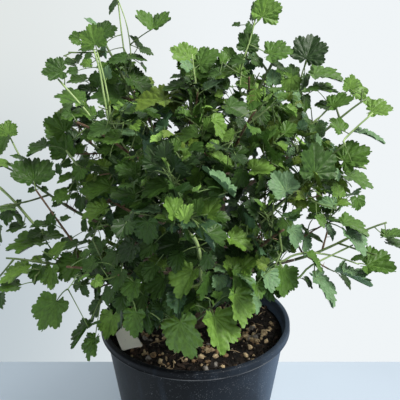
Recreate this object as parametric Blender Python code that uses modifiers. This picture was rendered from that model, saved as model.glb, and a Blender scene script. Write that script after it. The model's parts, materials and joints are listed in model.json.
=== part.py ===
"""A gooseberry bush in a black plastic nursery pot, standing on the pot's flat underside.

Metres, +Z up. The origin is the middle of the pot's underside, and -Y faces the viewer.
A short woody stem stands on the potting soil. Boughs rise from its head, further boughs fork from
them, and each bough ends where it enters the foliage mass that it carries.
"""

import math
import random
from typing import NamedTuple

import bmesh
import bpy
from mathutils import Matrix, Vector
from mathutils.bvhtree import BVHTree

GAP = 0.0003  # between a piece and the one that carries it
CLEAR = 0.0008  # between foliage and whatever it must not touch

# Pot: a straight-tapered wall under a rolled rim
POT_HEIGHT = 0.200
RIM_RADIUS = 0.1275
RIM_DEPTH = 0.0095
RIM_PROUD = 0.0047
RIM_ROUND = 0.0018
RIM_BEAD = 0.0005
WALL = 0.0020
WALL_SLOPE = 0.136  # radius lost for each metre further down
FLOOR = 0.0030
FOOT_BEVEL = 0.0030
POT_SIDES = 40
DRAIN_HOLES = 6
DRAIN_RADIUS = 0.0055
DRAIN_CIRCLE = 0.074

# Potting soil: level at the wall, with a low mound round the stem
SOIL_LEVEL = 0.182
SOIL_MOUND = 0.0040
MOUND_TOP_RADIUS = 0.026
MOUND_FOOT_RADIUS = 0.060

# Blank plant label, lying on the soil by the wall
LABEL_LENGTH = 0.056
LABEL_WIDTH = 0.026
LABEL_POINT = 0.012
LABEL_THICKNESS = 0.0008
LABEL_PLACE = (-0.088, -0.038)
LABEL_TURN = math.radians(112)

# Woody stem: (height above the soil, lean along X, radius)
STEM_RINGS = (
    (0.000, 0.0000, 0.0170),
    (0.006, 0.0000, 0.0135),
    (0.016, 0.0005, 0.0112),
    (0.030, 0.0015, 0.0102),
    (0.044, 0.0022, 0.0112),
    (0.054, 0.0026, 0.0116),
    (0.062, 0.0030, 0.0080),
)
STEM_FOOT = SOIL_LEVEL + SOIL_MOUND + GAP

# Limbs
BOUGH_ROOT = 0.0038
BOUGH_TIP = 0.0017
BOUGH_POINTS = 8
BOUGH_SPREAD = 0.0055  # how far from the stem's middle line a bough starts
UPRIGHT = 0.55  # how steeply a bough sets out, against its own way out
FLARE = 0.35  # how far a bough turns outwards as it arrives
FORK_SHARE = 0.85  # a forking bough's root radius, against the radius of the limb that carries it
ENTRY_SHARE = 0.62  # a bough ends this share of its mass's radius short of the mass's middle

# Twigs of a mass: a leader that carries on from the bough, and side twigs that leave it
GOLDEN_ANGLE = math.radians(137.5)
LEADER_POINTS = 6
LEADER_ROOT = 0.0019
LEADER_REACH = 0.80  # how far past the mass's middle it grows, and then up, against the room's radius
LEADER_RISE = 0.25
LEADER_MARGIN = 0.006
SIDE_TWIGS = 5
FIRST_TWIG = 0.12  # share of the leader below the first side twig
TWIG_SPAN = 0.80
TWIG_POINTS = 3
TWIG_ROOT = 0.0013
TWIG_TIP = 0.0011
TWIG_MARGIN = 0.004
TRIES = 12

# Leaves
LEAF_LENGTH = 0.054
LEAF_WIDTH = 0.058
LEAF_THICKNESS = 0.0014
LEAF_ROOT = 0.0003  # how far past a twig's middle the leaf's root is sunk
LEAF_MIDDLE = 0.45
LEAF_OUTLINE = ((0.0, 0.0), (0.50, 0.42), (0.28, 0.95), (-0.28, 0.95), (-0.50, 0.42))  # 1 long, 1 wide
LEAF_SHARES = (0.94, 0.64, 0.84, 0.74, 0.52)  # where along a twig its leaves grow, the first filled first
LEAVES_PER_MASS = 20
DROOP = 0.12  # how far a leaf hangs, and how far it hangs in a mass whose middle is this low
LOW_DROOP = 0.55
LOW_MASS = 0.30
SKY_SPREAD = 5.0  # how far leaves turn their faces outwards, for each metre from the stem


class Mass(NamedTuple):
    """One mass of foliage, and where its bough forks from the limb that carries it."""

    name: str
    carrier: str
    share: float  # of the carrier's length, below the fork
    middle: tuple  # of the mass's room
    radius: float


MASSES = (
    Mass("top_left", "stem", 0.95, (-0.096, 0.020, 0.519), 0.095),
    Mass("top_right", "stem", 0.92, (0.090, 0.010, 0.515), 0.095),
    Mass("back_left_top", "stem", 0.80, (-0.075, 0.108, 0.446), 0.096),
    Mass("back_right_top", "stem", 0.76, (0.078, 0.108, 0.442), 0.096),
    Mass("front_middle", "stem", 0.80, (-0.014, -0.116, 0.375), 0.088),
    Mass("back_middle", "stem", 0.66, (0.000, 0.145, 0.350), 0.095),
    Mass("left_mid", "stem", 0.70, (-0.186, -0.010, 0.366), 0.088),
    Mass("right_low", "stem", 0.64, (0.180, -0.020, 0.302), 0.088),
    Mass("top_middle", "top_left", 0.30, (-0.006, 0.026, 0.470), 0.084),
    Mass("left_high", "top_left", 0.45, (-0.148, 0.008, 0.440), 0.086),
    Mass("core_left", "top_left", 0.62, (-0.074, -0.060, 0.425), 0.088),
    Mass("right_high", "top_right", 0.42, (0.165, 0.000, 0.447), 0.084),
    Mass("core_right", "top_right", 0.60, (0.045, -0.060, 0.432), 0.088),
    Mass("right_mid", "right_low", 0.34, (0.130, -0.052, 0.396), 0.084),
    Mass("front_right", "right_low", 0.22, (0.074, -0.100, 0.333), 0.080),
    Mass("left_low", "left_mid", 0.36, (-0.176, -0.050, 0.288), 0.084),
    Mass("front_left", "front_middle", 0.28, (-0.092, -0.106, 0.302), 0.086),
    Mass("front_low", "front_middle", 0.42, (0.000, -0.104, 0.262), 0.074),
    Mass("back_left", "back_left_top", 0.36, (-0.142, 0.092, 0.338), 0.093),
    Mass("back_right", "back_right_top", 0.36, (0.134, 0.092, 0.342), 0.091),
    Mass("back_left_low", "back_middle", 0.30, (-0.082, 0.132, 0.260), 0.084),
    Mass("back_right_low", "back_middle", 0.42, (0.082, 0.132, 0.260), 0.084),
)


def clear_scene():
    """Removes whatever the scene holds."""
    for old in list(bpy.data.objects):
        bpy.data.objects.remove(old)


def new_collection(name):
    made = bpy.data.collections.new(name)
    bpy.context.scene.collection.children.link(made)
    return made


def material(name, colour, roughness):
    made = bpy.data.materials.new(name)
    made.use_nodes = True
    surface = made.node_tree.nodes["Principled BSDF"]
    surface.inputs["Base Color"].default_value = (*colour, 1.0)
    surface.inputs["Roughness"].default_value = roughness
    surface.inputs["Metallic"].default_value = 0.0
    return made


def add_object(name, data, collection, finish=None):
    made = bpy.data.objects.new(name, data)
    collection.objects.link(made)
    if finish is not None:
        data.materials.append(finish)
    return made


def make_guide(obj):
    """A cutter or a guide: it is kept, but isn't part of the plant."""
    obj.hide_render = True
    obj.display_type = "WIRE"


def wall_radius(height):
    """Outer radius of the pot's wall at a height."""
    return RIM_RADIUS - RIM_PROUD - WALL_SLOPE * (POT_HEIGHT - height)


def turned(name, profile, collection, finish):
    """A turned shape: the profile of (radius, height) points swept about Z."""
    mesh = bpy.data.meshes.new(name)
    edges = [(i, i + 1) for i in range(len(profile) - 1)]
    mesh.from_pydata([(r, 0.0, z) for r, z in profile], edges, [])
    obj = add_object(name, mesh, collection, finish)
    screw = obj.modifiers.new("turn", "SCREW")
    screw.steps = POT_SIDES
    screw.render_steps = POT_SIDES
    screw.use_merge_vertices = True
    screw.merge_threshold = 0.00001
    return obj


def arc(centre, radius, start, end, steps):
    """Points of an arc in the profile plane, angles in degrees."""
    points = []
    for i in range(steps + 1):
        angle = math.radians(start + (end - start) * i / steps)
        points.append((centre[0] + radius * math.cos(angle), centre[1] + radius * math.sin(angle)))
    return points


def build_pot(parts, finish):
    """The pot: wall, rolled rim, floor and drainage holes."""
    rim_foot = POT_HEIGHT - RIM_DEPTH
    inner_top = wall_radius(POT_HEIGHT) - WALL
    round_middle = POT_HEIGHT - RIM_ROUND
    profile = [(0.0, FLOOR), (wall_radius(FLOOR) - WALL, FLOOR)]
    profile += arc((inner_top + RIM_ROUND, round_middle), RIM_ROUND, 180, 90, 2)
    profile += arc((RIM_RADIUS - RIM_ROUND, round_middle), RIM_ROUND, 90, 0, 2)
    profile += [(RIM_RADIUS, rim_foot + 3 * RIM_BEAD), (RIM_RADIUS + RIM_BEAD, rim_foot)]
    profile += [(wall_radius(rim_foot), rim_foot), (wall_radius(FOOT_BEVEL), FOOT_BEVEL)]
    profile += [(wall_radius(0.0) - FOOT_BEVEL, 0.0), (0.0, 0.0)]
    pot = turned("pot", profile, parts, finish)
    drains = new_collection("drainage_cutters")
    for i in range(DRAIN_HOLES):
        angle = 2 * math.pi * i / DRAIN_HOLES
        mesh = bpy.data.meshes.new("drain_cutter")
        shape = bmesh.new()
        bmesh.ops.create_cone(
            shape, cap_ends=True, segments=8, radius1=DRAIN_RADIUS, radius2=DRAIN_RADIUS, depth=4 * FLOOR
        )
        shape.to_mesh(mesh)
        shape.free()
        cutter = add_object(f"drain_cutter_{i}", mesh, drains)
        cutter.location = (DRAIN_CIRCLE * math.cos(angle), DRAIN_CIRCLE * math.sin(angle), FLOOR / 2)
        make_guide(cutter)
    cut = pot.modifiers.new("drainage", "BOOLEAN")
    cut.operation = "DIFFERENCE"
    cut.operand_type = "COLLECTION"
    cut.collection = drains


def build_soil(parts, finish):
    """The potting soil, a thin gap inside the pot."""
    low = FLOOR + GAP
    profile = [
        (0.0, SOIL_LEVEL + SOIL_MOUND),
        (MOUND_TOP_RADIUS, SOIL_LEVEL + SOIL_MOUND),
        (MOUND_FOOT_RADIUS, SOIL_LEVEL),
        (wall_radius(SOIL_LEVEL) - WALL - GAP, SOIL_LEVEL),
        (wall_radius(low) - WALL - GAP, low),
        (0.0, low),
    ]
    turned("soil", profile, parts, finish)


def build_label(parts, finish):
    """A blank label with one pointed end, lying on the soil."""
    half = LABEL_WIDTH / 2
    back, shoulder, tip = -LABEL_LENGTH / 2, LABEL_LENGTH / 2 - LABEL_POINT, LABEL_LENGTH / 2
    outline = bpy.data.curves.new("label", "CURVE")
    outline.dimensions = "2D"
    outline.fill_mode = "BOTH"
    outline.extrude = LABEL_THICKNESS / 2
    spline = outline.splines.new("POLY")
    corners = [(back, -half), (shoulder, -half), (tip, 0.0), (shoulder, half), (back, half)]
    spline.points.add(len(corners) - 1)
    for point, (x, y) in zip(spline.points, corners):
        point.co = (x, y, 0.0, 1.0)
    spline.use_cyclic_u = True
    label = add_object("label", outline, parts, finish)
    label.location = (*LABEL_PLACE, SOIL_LEVEL + GAP + LABEL_THICKNESS / 2)
    label.rotation_euler = (0.0, 0.0, LABEL_TURN)


def tube(name, path, radii, collection, finish=None, section=None):
    """A tapered tube along a path: six-sided, or with the section object given."""
    curve = bpy.data.curves.new(name, "CURVE")
    curve.dimensions = "3D"
    curve.use_fill_caps = True
    if section is None:
        curve.bevel_depth = 1.0
        curve.bevel_resolution = 1
    else:
        curve.bevel_mode = "OBJECT"
        curve.bevel_object = section
    spline = curve.splines.new("POLY")
    spline.points.add(len(path) - 1)
    for point, place, radius in zip(spline.points, path, radii):
        point.co = (*place, 1.0)
        point.radius = radius
    return add_object(name, curve, collection, finish)


def as_mesh(obj, collection):
    """The object's evaluated shape as a mesh object with its seams welded. The old one goes."""
    bpy.context.view_layer.update()
    evaluated = obj.evaluated_get(bpy.context.evaluated_depsgraph_get())
    mesh = bpy.data.meshes.new_from_object(evaluated)
    shape = bmesh.new()
    shape.from_mesh(mesh)
    bmesh.ops.remove_doubles(shape, verts=shape.verts, dist=0.00001)
    bmesh.ops.recalc_face_normals(shape, faces=shape.faces)
    shape.to_mesh(mesh)
    shape.free()
    name, place = obj.name, obj.matrix_world.copy()
    bpy.data.objects.remove(obj)
    made = add_object(name, mesh, collection)
    made.matrix_world = place
    return made


def triangle_section(guides):
    """The three-sided section of the twigs, of radius 1."""
    curve = bpy.data.curves.new("twig_section", "CURVE")
    spline = curve.splines.new("POLY")
    spline.points.add(2)
    for i, point in enumerate(spline.points):
        angle = 2 * math.pi * i / 3
        point.co = (math.cos(angle), math.sin(angle), 0.0, 1.0)
    spline.use_cyclic_u = True
    section = add_object("twig_section", curve, guides)
    make_guide(section)
    return section


def arch(start, set_out, end, arrive, count):
    """Points of a smooth curve that sets out one way and arrives another."""
    reach = (end - start).length
    points = []
    for i in range(count):
        t = i / (count - 1)
        points.append(
            (2 * t**3 - 3 * t**2 + 1) * start
            + (t**3 - 2 * t**2 + t) * reach * set_out
            + (3 * t**2 - 2 * t**3) * end
            + (t**3 - t**2) * reach * arrive
        )
    return points


def along(path, share):
    """(place, direction) at a share of the path's points."""
    where = share * (len(path) - 1)
    i = min(int(where), len(path) - 2)
    return path[i].lerp(path[i + 1], where - i), (path[i + 1] - path[i]).normalized()


def tapers(count, root, tip):
    return [root + (tip - root) * i / (count - 1) for i in range(count)]


def stem_path():
    return [Vector((lean, 0.0, STEM_FOOT + height)) for height, lean, _ in STEM_RINGS]


def bough_path(mass, paths):
    """The middle line of a mass's bough, from the limb that carries it to the mass's entry."""
    middle = Vector(mass.middle)
    start, lift = along(paths[mass.carrier], mass.share)
    flat = Vector((middle.x, middle.y, 0.0)).normalized()
    if mass.carrier == "stem":
        start = start + BOUGH_SPREAD * flat
        set_out = (UPRIGHT * lift + (1 - UPRIGHT) * flat).normalized()
    else:
        set_out = (UPRIGHT * lift + (1 - UPRIGHT) * (middle - start).normalized()).normalized()
    arrive = ((middle - start).normalized() + FLARE * flat).normalized()
    entry = middle - ENTRY_SHARE * mass.radius * arrive
    return arch(start, set_out, entry, arrive, BOUGH_POINTS), arrive


def build_stem(parts, guides, finish):
    """The woody stem, and a slightly larger copy of it that the boughs' roots are cut with."""
    radii = [radius for _, _, radius in STEM_RINGS]
    stem = tube("stem", stem_path(), radii, parts, finish)
    stem.data.bevel_resolution = 4
    cutter = tube("stem_cutter", stem_path(), [radius + GAP for radius in radii], guides)
    cutter.data.bevel_resolution = 4
    cutter = as_mesh(cutter, guides)
    make_guide(cutter)
    return cutter


def build_boughs(parts, guides, stem_cutter, finish):
    """One tapering limb for each mass, cut clear of the limb that carries it.

    It gives each bough's path and arriving direction, by the mass's name.
    """
    paths, arrivals, cutters, roots = {"stem": stem_path()}, {}, {"stem": stem_cutter}, {}
    carriers = {mass.carrier for mass in MASSES}
    for mass in MASSES:
        path, arrivals[mass.name] = bough_path(mass, paths)
        root = BOUGH_ROOT
        if mass.carrier != "stem":
            below = roots[mass.carrier]
            root = FORK_SHARE * (below + mass.share * (BOUGH_TIP - below))
        paths[mass.name], roots[mass.name] = path, root
        radii = tapers(BOUGH_POINTS, root, BOUGH_TIP)
        bough = as_mesh(tube(f"bough_{mass.name}", path, radii, parts), parts)
        bough.data.materials.append(finish)
        cut = bough.modifiers.new("seat", "BOOLEAN")
        cut.operation = "DIFFERENCE"
        cut.object = cutters[mass.carrier]
        if mass.name in carriers:
            wider = tube(f"bough_cutter_{mass.name}", path, [r + GAP for r in radii], guides)
            cutters[mass.name] = as_mesh(wider, guides)
            make_guide(cutters[mass.name])
    return paths, arrivals


class Space:
    """The room of one mass: a ball about its middle, shared out flat with its neighbours."""

    def __init__(self, mass):
        self.middle = Vector(mass.middle)
        self.radius = mass.radius
        self.walls = []
        for other in MASSES:
            if other == mass:
                continue
            away = Vector(other.middle) - self.middle
            share = (away.length_squared + self.radius**2 - other.radius**2) / (2 * away.length)
            self.walls.append((away.normalized(), share))

    def holds(self, points, margin):
        """Whether every point is inside the room by at least the margin."""
        for point in points:
            offset = point - self.middle
            if offset.length > self.radius - margin:
                return False
            if any(offset.dot(way) > share - margin for way, share in self.walls):
                return False
        return True


def limb_tree(paths):
    """Everything that foliage must stay clear of: the limbs, a little wider than they are."""
    points, faces = [], []
    for name, path in paths.items():
        widest = STEM_RINGS[0][2] if name == "stem" else BOUGH_ROOT + CLEAR
        ring_points, ring_faces = prism(path, widest, len(points))
        points += ring_points
        faces += ring_faces
    return BVHTree.FromPolygons(points, faces)


def prism(path, radius, first=0):
    """Points and side faces of a four-sided sleeve along a path, for the tests of clearance."""
    points, faces = [], []
    for i, place in enumerate(path):
        way = (path[min(i + 1, len(path) - 1)] - path[max(i - 1, 0)]).normalized()
        side = way.orthogonal().normalized()
        other = way.cross(side)
        for turn in range(4):
            angle = math.pi * turn / 2
            points.append(place + radius * (math.cos(angle) * side + math.sin(angle) * other))
    for i in range(len(path) - 1):
        for turn in range(4):
            a, b = first + 4 * i + turn, first + 4 * i + (turn + 1) % 4
            faces.append((a, b, b + 4, a + 4))
    return points, faces


def side_way(way, turn, spread):
    """A direction that leaves another at the angle of spread, turned about it."""
    side = way.orthogonal().normalized()
    side.rotate(Matrix.Rotation(turn, 3, way))
    return (math.cos(spread) * way + math.sin(spread) * side).normalized()


def twig_path(start, way, length, lift):
    """A short curve that bends upwards by the lift as it grows."""
    path = [start]
    for _ in range(TWIG_POINTS - 1):
        way = (way + Vector((0.0, 0.0, lift))).normalized()
        path.append(path[-1] + way * length / (TWIG_POINTS - 1))
    return path


def grow_twigs(space, entry, arrive, clear_of, chance):
    """The leader of a mass and the twigs that branch from it, as (path, root radius, tip radius)."""
    tip = space.middle + space.radius * (LEADER_REACH * arrive + Vector((0.0, 0.0, LEADER_RISE)))
    while not space.holds([tip], LEADER_MARGIN):
        tip = tip.lerp(space.middle, 0.15)
    leader = arch(entry + arrive * GAP, arrive, tip, arrive, LEADER_POINTS)
    twigs = [(leader, LEADER_ROOT, TWIG_TIP)]
    turn = chance.uniform(0.0, 2 * math.pi)
    for i in range(SIDE_TWIGS):
        share = FIRST_TWIG + TWIG_SPAN * i / SIDE_TWIGS
        start, way = along(leader, share)
        turn += GOLDEN_ANGLE + chance.uniform(-0.3, 0.3)
        length = space.radius * (0.95 - 0.45 * share) * chance.uniform(0.85, 1.1)
        lift = chance.uniform(0.02, 0.16)
        out = side_way(way, turn, math.radians(chance.uniform(48, 70)))
        for _ in range(TRIES):
            path = twig_path(start, out, length, lift)
            sleeve = BVHTree.FromPolygons(*prism(path[1:], TWIG_TIP))
            if space.holds(path[1:], TWIG_MARGIN) and not clear_of.overlap(sleeve):
                twigs.append((path, TWIG_ROOT, TWIG_TIP))
                break
            length *= 0.80
    return twigs


def leaf_mesh(name, root, way, face, size):
    """One leaf: a low cone whose base is moved to the blade's outline, with its apex mid-blade."""
    shape = bmesh.new()
    bmesh.ops.create_cone(
        shape, cap_ends=True, segments=len(LEAF_OUTLINE), radius1=1.0, radius2=0.0, depth=1.0
    )
    bmesh.ops.remove_doubles(shape, verts=shape.verts, dist=0.0001)
    apex = max(shape.verts, key=lambda v: v.co.z)
    rim = sorted((v for v in shape.verts if v != apex), key=lambda v: math.atan2(v.co.y, v.co.x))
    apex.co = (0.0, LEAF_MIDDLE * LEAF_LENGTH * size, LEAF_THICKNESS)
    for vertex, (x, y) in zip(rim, LEAF_OUTLINE):
        vertex.co = (x * LEAF_WIDTH * size, y * LEAF_LENGTH * size, 0.0)
    across = way.cross(face).normalized()
    turn = Matrix((across, way, across.cross(way))).transposed().to_4x4()
    bmesh.ops.transform(shape, matrix=Matrix.Translation(root) @ turn, verts=shape.verts)
    bmesh.ops.recalc_face_normals(shape, faces=shape.faces)
    mesh = bpy.data.meshes.new(name)
    shape.to_mesh(mesh)
    shape.free()
    return mesh


def leaf_pose(space, place, way, turn, pull, chance):
    """(way, face) of a leaf: it leaves its twig sideways, pulled outwards, and faces the light."""
    outward = (place - space.middle).normalized()
    out = side_way(way, turn, math.radians(chance.uniform(40, 75)))
    droop = LOW_DROOP if space.middle.z < LOW_MASS else DROOP
    leaf_way = (out + pull * outward - Vector((0.0, 0.0, droop))).normalized()
    sky = Vector((SKY_SPREAD * place.x, SKY_SPREAD * place.y, 1.0))
    sky += Vector([chance.uniform(-0.35, 0.35) for _ in range(3)])
    face = sky - sky.dot(leaf_way) * leaf_way
    return leaf_way, face.normalized()


def grow_leaves(space, twigs, clear_of, chance):
    """Leaves along the twigs, each clear of the limbs and of the other leaves.

    A leaf that would leave the room or touch something is turned about its twig and pulled
    inwards, and after the last try it is left out.
    """
    sites = []
    for rank, (path, _, _) in enumerate(twigs):
        sites += [(order, rank, path, share) for order, share in enumerate(LEAF_SHARES)]
    sites.sort(key=lambda site: site[:2])
    leaves, trees = [], []
    for order, rank, path, share in sites:
        if len(leaves) == LEAVES_PER_MASS:
            break
        place, way = along(path, share)
        turn = order * GOLDEN_ANGLE + rank + chance.uniform(-0.4, 0.4)
        for attempt in range(TRIES):
            leaf_way, face = leaf_pose(space, place, way, turn, 0.45 - 0.2 * attempt, chance)
            size = chance.uniform(0.86, 1.10) * (1.0 - 0.03 * attempt)
            mesh = leaf_mesh("leaf", place - leaf_way * LEAF_ROOT, leaf_way, face, size)
            points = [v.co.copy() for v in mesh.vertices]
            tree = BVHTree.FromPolygons(points, [tuple(p.vertices) for p in mesh.polygons])
            free = space.holds(points, CLEAR) and not clear_of.overlap(tree)
            if free and not any(tree.overlap(other) for other in trees):
                leaves.append(mesh)
                trees.append(tree)
                break
            bpy.data.meshes.remove(mesh)
            turn += GOLDEN_ANGLE
    return leaves


def drop_scraps(mesh):
    """Keeps the largest connected body of a mesh."""
    shape = bmesh.new()
    shape.from_mesh(mesh)
    left, bodies = set(shape.verts), []
    while left:
        front = [left.pop()]
        body = set(front)
        while front:
            vertex = front.pop()
            for edge in vertex.link_edges:
                other = edge.other_vert(vertex)
                if other in left:
                    left.remove(other)
                    body.add(other)
                    front.append(other)
        bodies.append(body)
    bodies.sort(key=len)
    for body in bodies[:-1]:
        bmesh.ops.delete(shape, geom=list(body), context="VERTS")
    shape.to_mesh(mesh)
    shape.free()


def fuse(name, pieces, parts, finish):
    """Joins the pieces by one Boolean union on a collection, which is applied and then removed."""
    group = new_collection(f"{name}_pieces")
    body = pieces[0]
    for piece in pieces[1:]:
        for held in list(piece.users_collection):
            held.objects.unlink(piece)
        group.objects.link(piece)
    union = body.modifiers.new("fuse", "BOOLEAN")
    union.operation = "UNION"
    union.operand_type = "COLLECTION"
    union.collection = group
    union.solver = "MANIFOLD"
    bpy.context.view_layer.update()
    evaluated = body.evaluated_get(bpy.context.evaluated_depsgraph_get())
    mesh = bpy.data.meshes.new_from_object(evaluated)
    for piece in pieces:
        bpy.data.objects.remove(piece)
    bpy.data.collections.remove(group)
    drop_scraps(mesh)
    mesh.materials.clear()
    return add_object(name, mesh, parts, finish)


def build_masses(parts, guides, paths, arrivals, finish):
    """The foliage: each mass is twigs with leaves, fused into one body."""
    section = triangle_section(guides)
    clear_of = limb_tree(paths)
    for seed, mass in enumerate(MASSES):
        chance = random.Random(seed)
        space = Space(mass)
        twigs = grow_twigs(space, paths[mass.name][-1], arrivals[mass.name], clear_of, chance)
        pieces = []
        for path, root, tip in twigs:
            twig = tube("twig", path, tapers(len(path), root, tip), guides, section=section)
            pieces.append(as_mesh(twig, guides))
        for mesh in grow_leaves(space, twigs, clear_of, chance):
            pieces.append(add_object("leaf", mesh, guides))
        fuse(f"foliage_{mass.name}", pieces, parts, finish)


def main():
    clear_scene()
    parts = new_collection("potted_gooseberry")
    guides = new_collection("guides")
    pot_plastic = material("pot_plastic", (0.030, 0.033, 0.037), 0.50)
    potting_soil = material("potting_soil", (0.050, 0.034, 0.022), 0.95)
    label_plastic = material("label_plastic", (0.72, 0.70, 0.60), 0.45)
    bark = material("bark", (0.190, 0.125, 0.080), 0.80)
    leaf_green = material("leaf_green", (0.075, 0.180, 0.045), 0.50)
    build_pot(parts, pot_plastic)
    build_soil(parts, potting_soil)
    build_label(parts, label_plastic)
    stem_cutter = build_stem(parts, guides, bark)
    paths, arrivals = build_boughs(parts, guides, stem_cutter, bark)
    build_masses(parts, guides, paths, arrivals, leaf_green)


if __name__ == "__main__":
    main()
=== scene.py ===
"""The looks of a potted gooseberry bush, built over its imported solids.

Metres, +Z up. The origin is the middle of the pot's underside, and -Y faces the viewer.
The limbs follow the same rule as the solids: a bough for each mass of foliage, a leader that
carries on from it and side twigs that leave the leader. Here the rule goes on to finer twigs, leaf
stalks and lobed leaves, inside the same rooms.
"""

import json
import logging
import math
import random
from dataclasses import dataclass, field
from enum import Enum

import bpy
import numpy as np
from mathutils import Matrix, Vector
from mathutils.bvhtree import BVHTree

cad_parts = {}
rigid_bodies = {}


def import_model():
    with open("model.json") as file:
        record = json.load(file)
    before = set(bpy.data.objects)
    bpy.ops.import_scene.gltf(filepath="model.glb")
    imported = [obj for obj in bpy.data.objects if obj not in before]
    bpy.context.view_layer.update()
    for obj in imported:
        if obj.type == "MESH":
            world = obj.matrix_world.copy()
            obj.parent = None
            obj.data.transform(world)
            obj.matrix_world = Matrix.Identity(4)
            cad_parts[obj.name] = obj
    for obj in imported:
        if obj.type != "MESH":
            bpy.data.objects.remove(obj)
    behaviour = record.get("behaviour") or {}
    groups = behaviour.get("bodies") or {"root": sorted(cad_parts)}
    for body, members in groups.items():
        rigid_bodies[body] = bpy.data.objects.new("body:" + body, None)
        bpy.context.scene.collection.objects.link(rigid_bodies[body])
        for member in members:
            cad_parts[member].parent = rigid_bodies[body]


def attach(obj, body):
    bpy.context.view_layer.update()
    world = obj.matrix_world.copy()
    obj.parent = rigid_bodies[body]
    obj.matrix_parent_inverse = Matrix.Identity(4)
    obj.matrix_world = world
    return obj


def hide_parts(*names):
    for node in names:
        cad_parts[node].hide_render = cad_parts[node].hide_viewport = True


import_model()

log = logging.getLogger("potted_gooseberry")
Triple = tuple[float, float, float]
Array = np.ndarray
Socket = bpy.types.NodeSocket
Material = bpy.types.Material
Mesh = bpy.types.Mesh

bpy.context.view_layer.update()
ROOT = "root"
FRAME = 400  # the photo's width and height in pixels

# The source's sizes that the looks follow
GAP = 0.0003
CLEAR = 0.0008
POT_HEIGHT = 0.200
RIM_RADIUS = 0.1275
RIM_DEPTH = 0.0095
RIM_PROUD = 0.0047
WALL = 0.0020
WALL_SLOPE = 0.136
FLOOR = 0.0030
SOIL_LEVEL = 0.182
SOIL_MOUND = 0.0040
STEM_RINGS = (
    (0.000, 0.0000, 0.0170),
    (0.006, 0.0000, 0.0135),
    (0.016, 0.0005, 0.0112),
    (0.030, 0.0015, 0.0102),
    (0.044, 0.0022, 0.0112),
    (0.054, 0.0026, 0.0116),
    (0.062, 0.0030, 0.0080),
)
STEM_FOOT = SOIL_LEVEL + SOIL_MOUND + GAP
BOUGH_ROOT = 0.0038
BOUGH_TIP = 0.0017
BOUGH_POINTS = 8
BOUGH_SPREAD = 0.0055
UPRIGHT = 0.55
FLARE = 0.35
FORK_SHARE = 0.85
ENTRY_SHARE = 0.62
GOLDEN_ANGLE = math.radians(137.5)
LEADER_POINTS = 6
LEADER_ROOT = 0.0019
LEADER_REACH = 0.80
LEADER_RISE = 0.25
LEADER_MARGIN = 0.006
SIDE_TWIGS = 5
FIRST_TWIG = 0.12
TWIG_SPAN = 0.80
TWIG_POINTS = 3
TWIG_ROOT = 0.0013
TWIG_TIP = 0.0011
TWIG_MARGIN = 0.004
TWIG_BEND = (0.02, 0.16)
TWIG_DEGREES = (48, 70)  # between a side twig and its leader
TWIG_TURN = 0.3
TWIG_STRETCH = (0.85, 1.1)
TRIES = 12

# The looks' own sizes
SKY_SHARE = 0.84  # how much of a leaf must lie inside the crown's outline
NEAR_SHOWN = 0.003  # how far in front of a shown leaf a stalk must be to hide it
NEAR_GUARDED = 0.004  # how far behind the guarded pixels a leaf must be to leave them in sight
CARRIER_STEPS = 10  # places along a twig where a stalk may start
FINE_PIXELS = 25  # a shown leaf at least so large gets the fine blade
TINT_LIMITS = (0.46, 0.86, 1.24, 1.50)  # a spray's roll, from shade to fresh green


@dataclass(frozen=True)
class Mass:
    """One mass of foliage, and where its bough forks from the limb that carries it."""

    name: str
    carrier: str
    share: float
    middle: Triple
    radius: float


MASSES = (
    Mass("top_left", "stem", 0.95, (-0.096, 0.020, 0.519), 0.095),
    Mass("top_right", "stem", 0.92, (0.090, 0.010, 0.515), 0.095),
    Mass("back_left_top", "stem", 0.80, (-0.075, 0.108, 0.446), 0.096),
    Mass("back_right_top", "stem", 0.76, (0.078, 0.108, 0.442), 0.096),
    Mass("front_middle", "stem", 0.80, (-0.014, -0.116, 0.375), 0.088),
    Mass("back_middle", "stem", 0.66, (0.000, 0.145, 0.350), 0.095),
    Mass("left_mid", "stem", 0.70, (-0.186, -0.010, 0.366), 0.088),
    Mass("right_low", "stem", 0.64, (0.180, -0.020, 0.302), 0.088),
    Mass("top_middle", "top_left", 0.30, (-0.006, 0.026, 0.470), 0.084),
    Mass("left_high", "top_left", 0.45, (-0.148, 0.008, 0.440), 0.086),
    Mass("core_left", "top_left", 0.62, (-0.074, -0.060, 0.425), 0.088),
    Mass("right_high", "top_right", 0.42, (0.165, 0.000, 0.447), 0.084),
    Mass("core_right", "top_right", 0.60, (0.045, -0.060, 0.432), 0.088),
    Mass("right_mid", "right_low", 0.34, (0.130, -0.052, 0.396), 0.084),
    Mass("front_right", "right_low", 0.22, (0.074, -0.100, 0.333), 0.080),
    Mass("left_low", "left_mid", 0.36, (-0.176, -0.050, 0.288), 0.084),
    Mass("front_left", "front_middle", 0.28, (-0.092, -0.106, 0.302), 0.086),
    Mass("front_low", "front_middle", 0.42, (0.000, -0.104, 0.262), 0.074),
    Mass("back_left", "back_left_top", 0.36, (-0.142, 0.092, 0.338), 0.093),
    Mass("back_right", "back_right_top", 0.36, (0.134, 0.092, 0.342), 0.091),
    Mass("back_left_low", "back_middle", 0.30, (-0.082, 0.132, 0.260), 0.084),
    Mass("back_right_low", "back_middle", 0.42, (0.082, 0.132, 0.260), 0.084),
)


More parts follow.
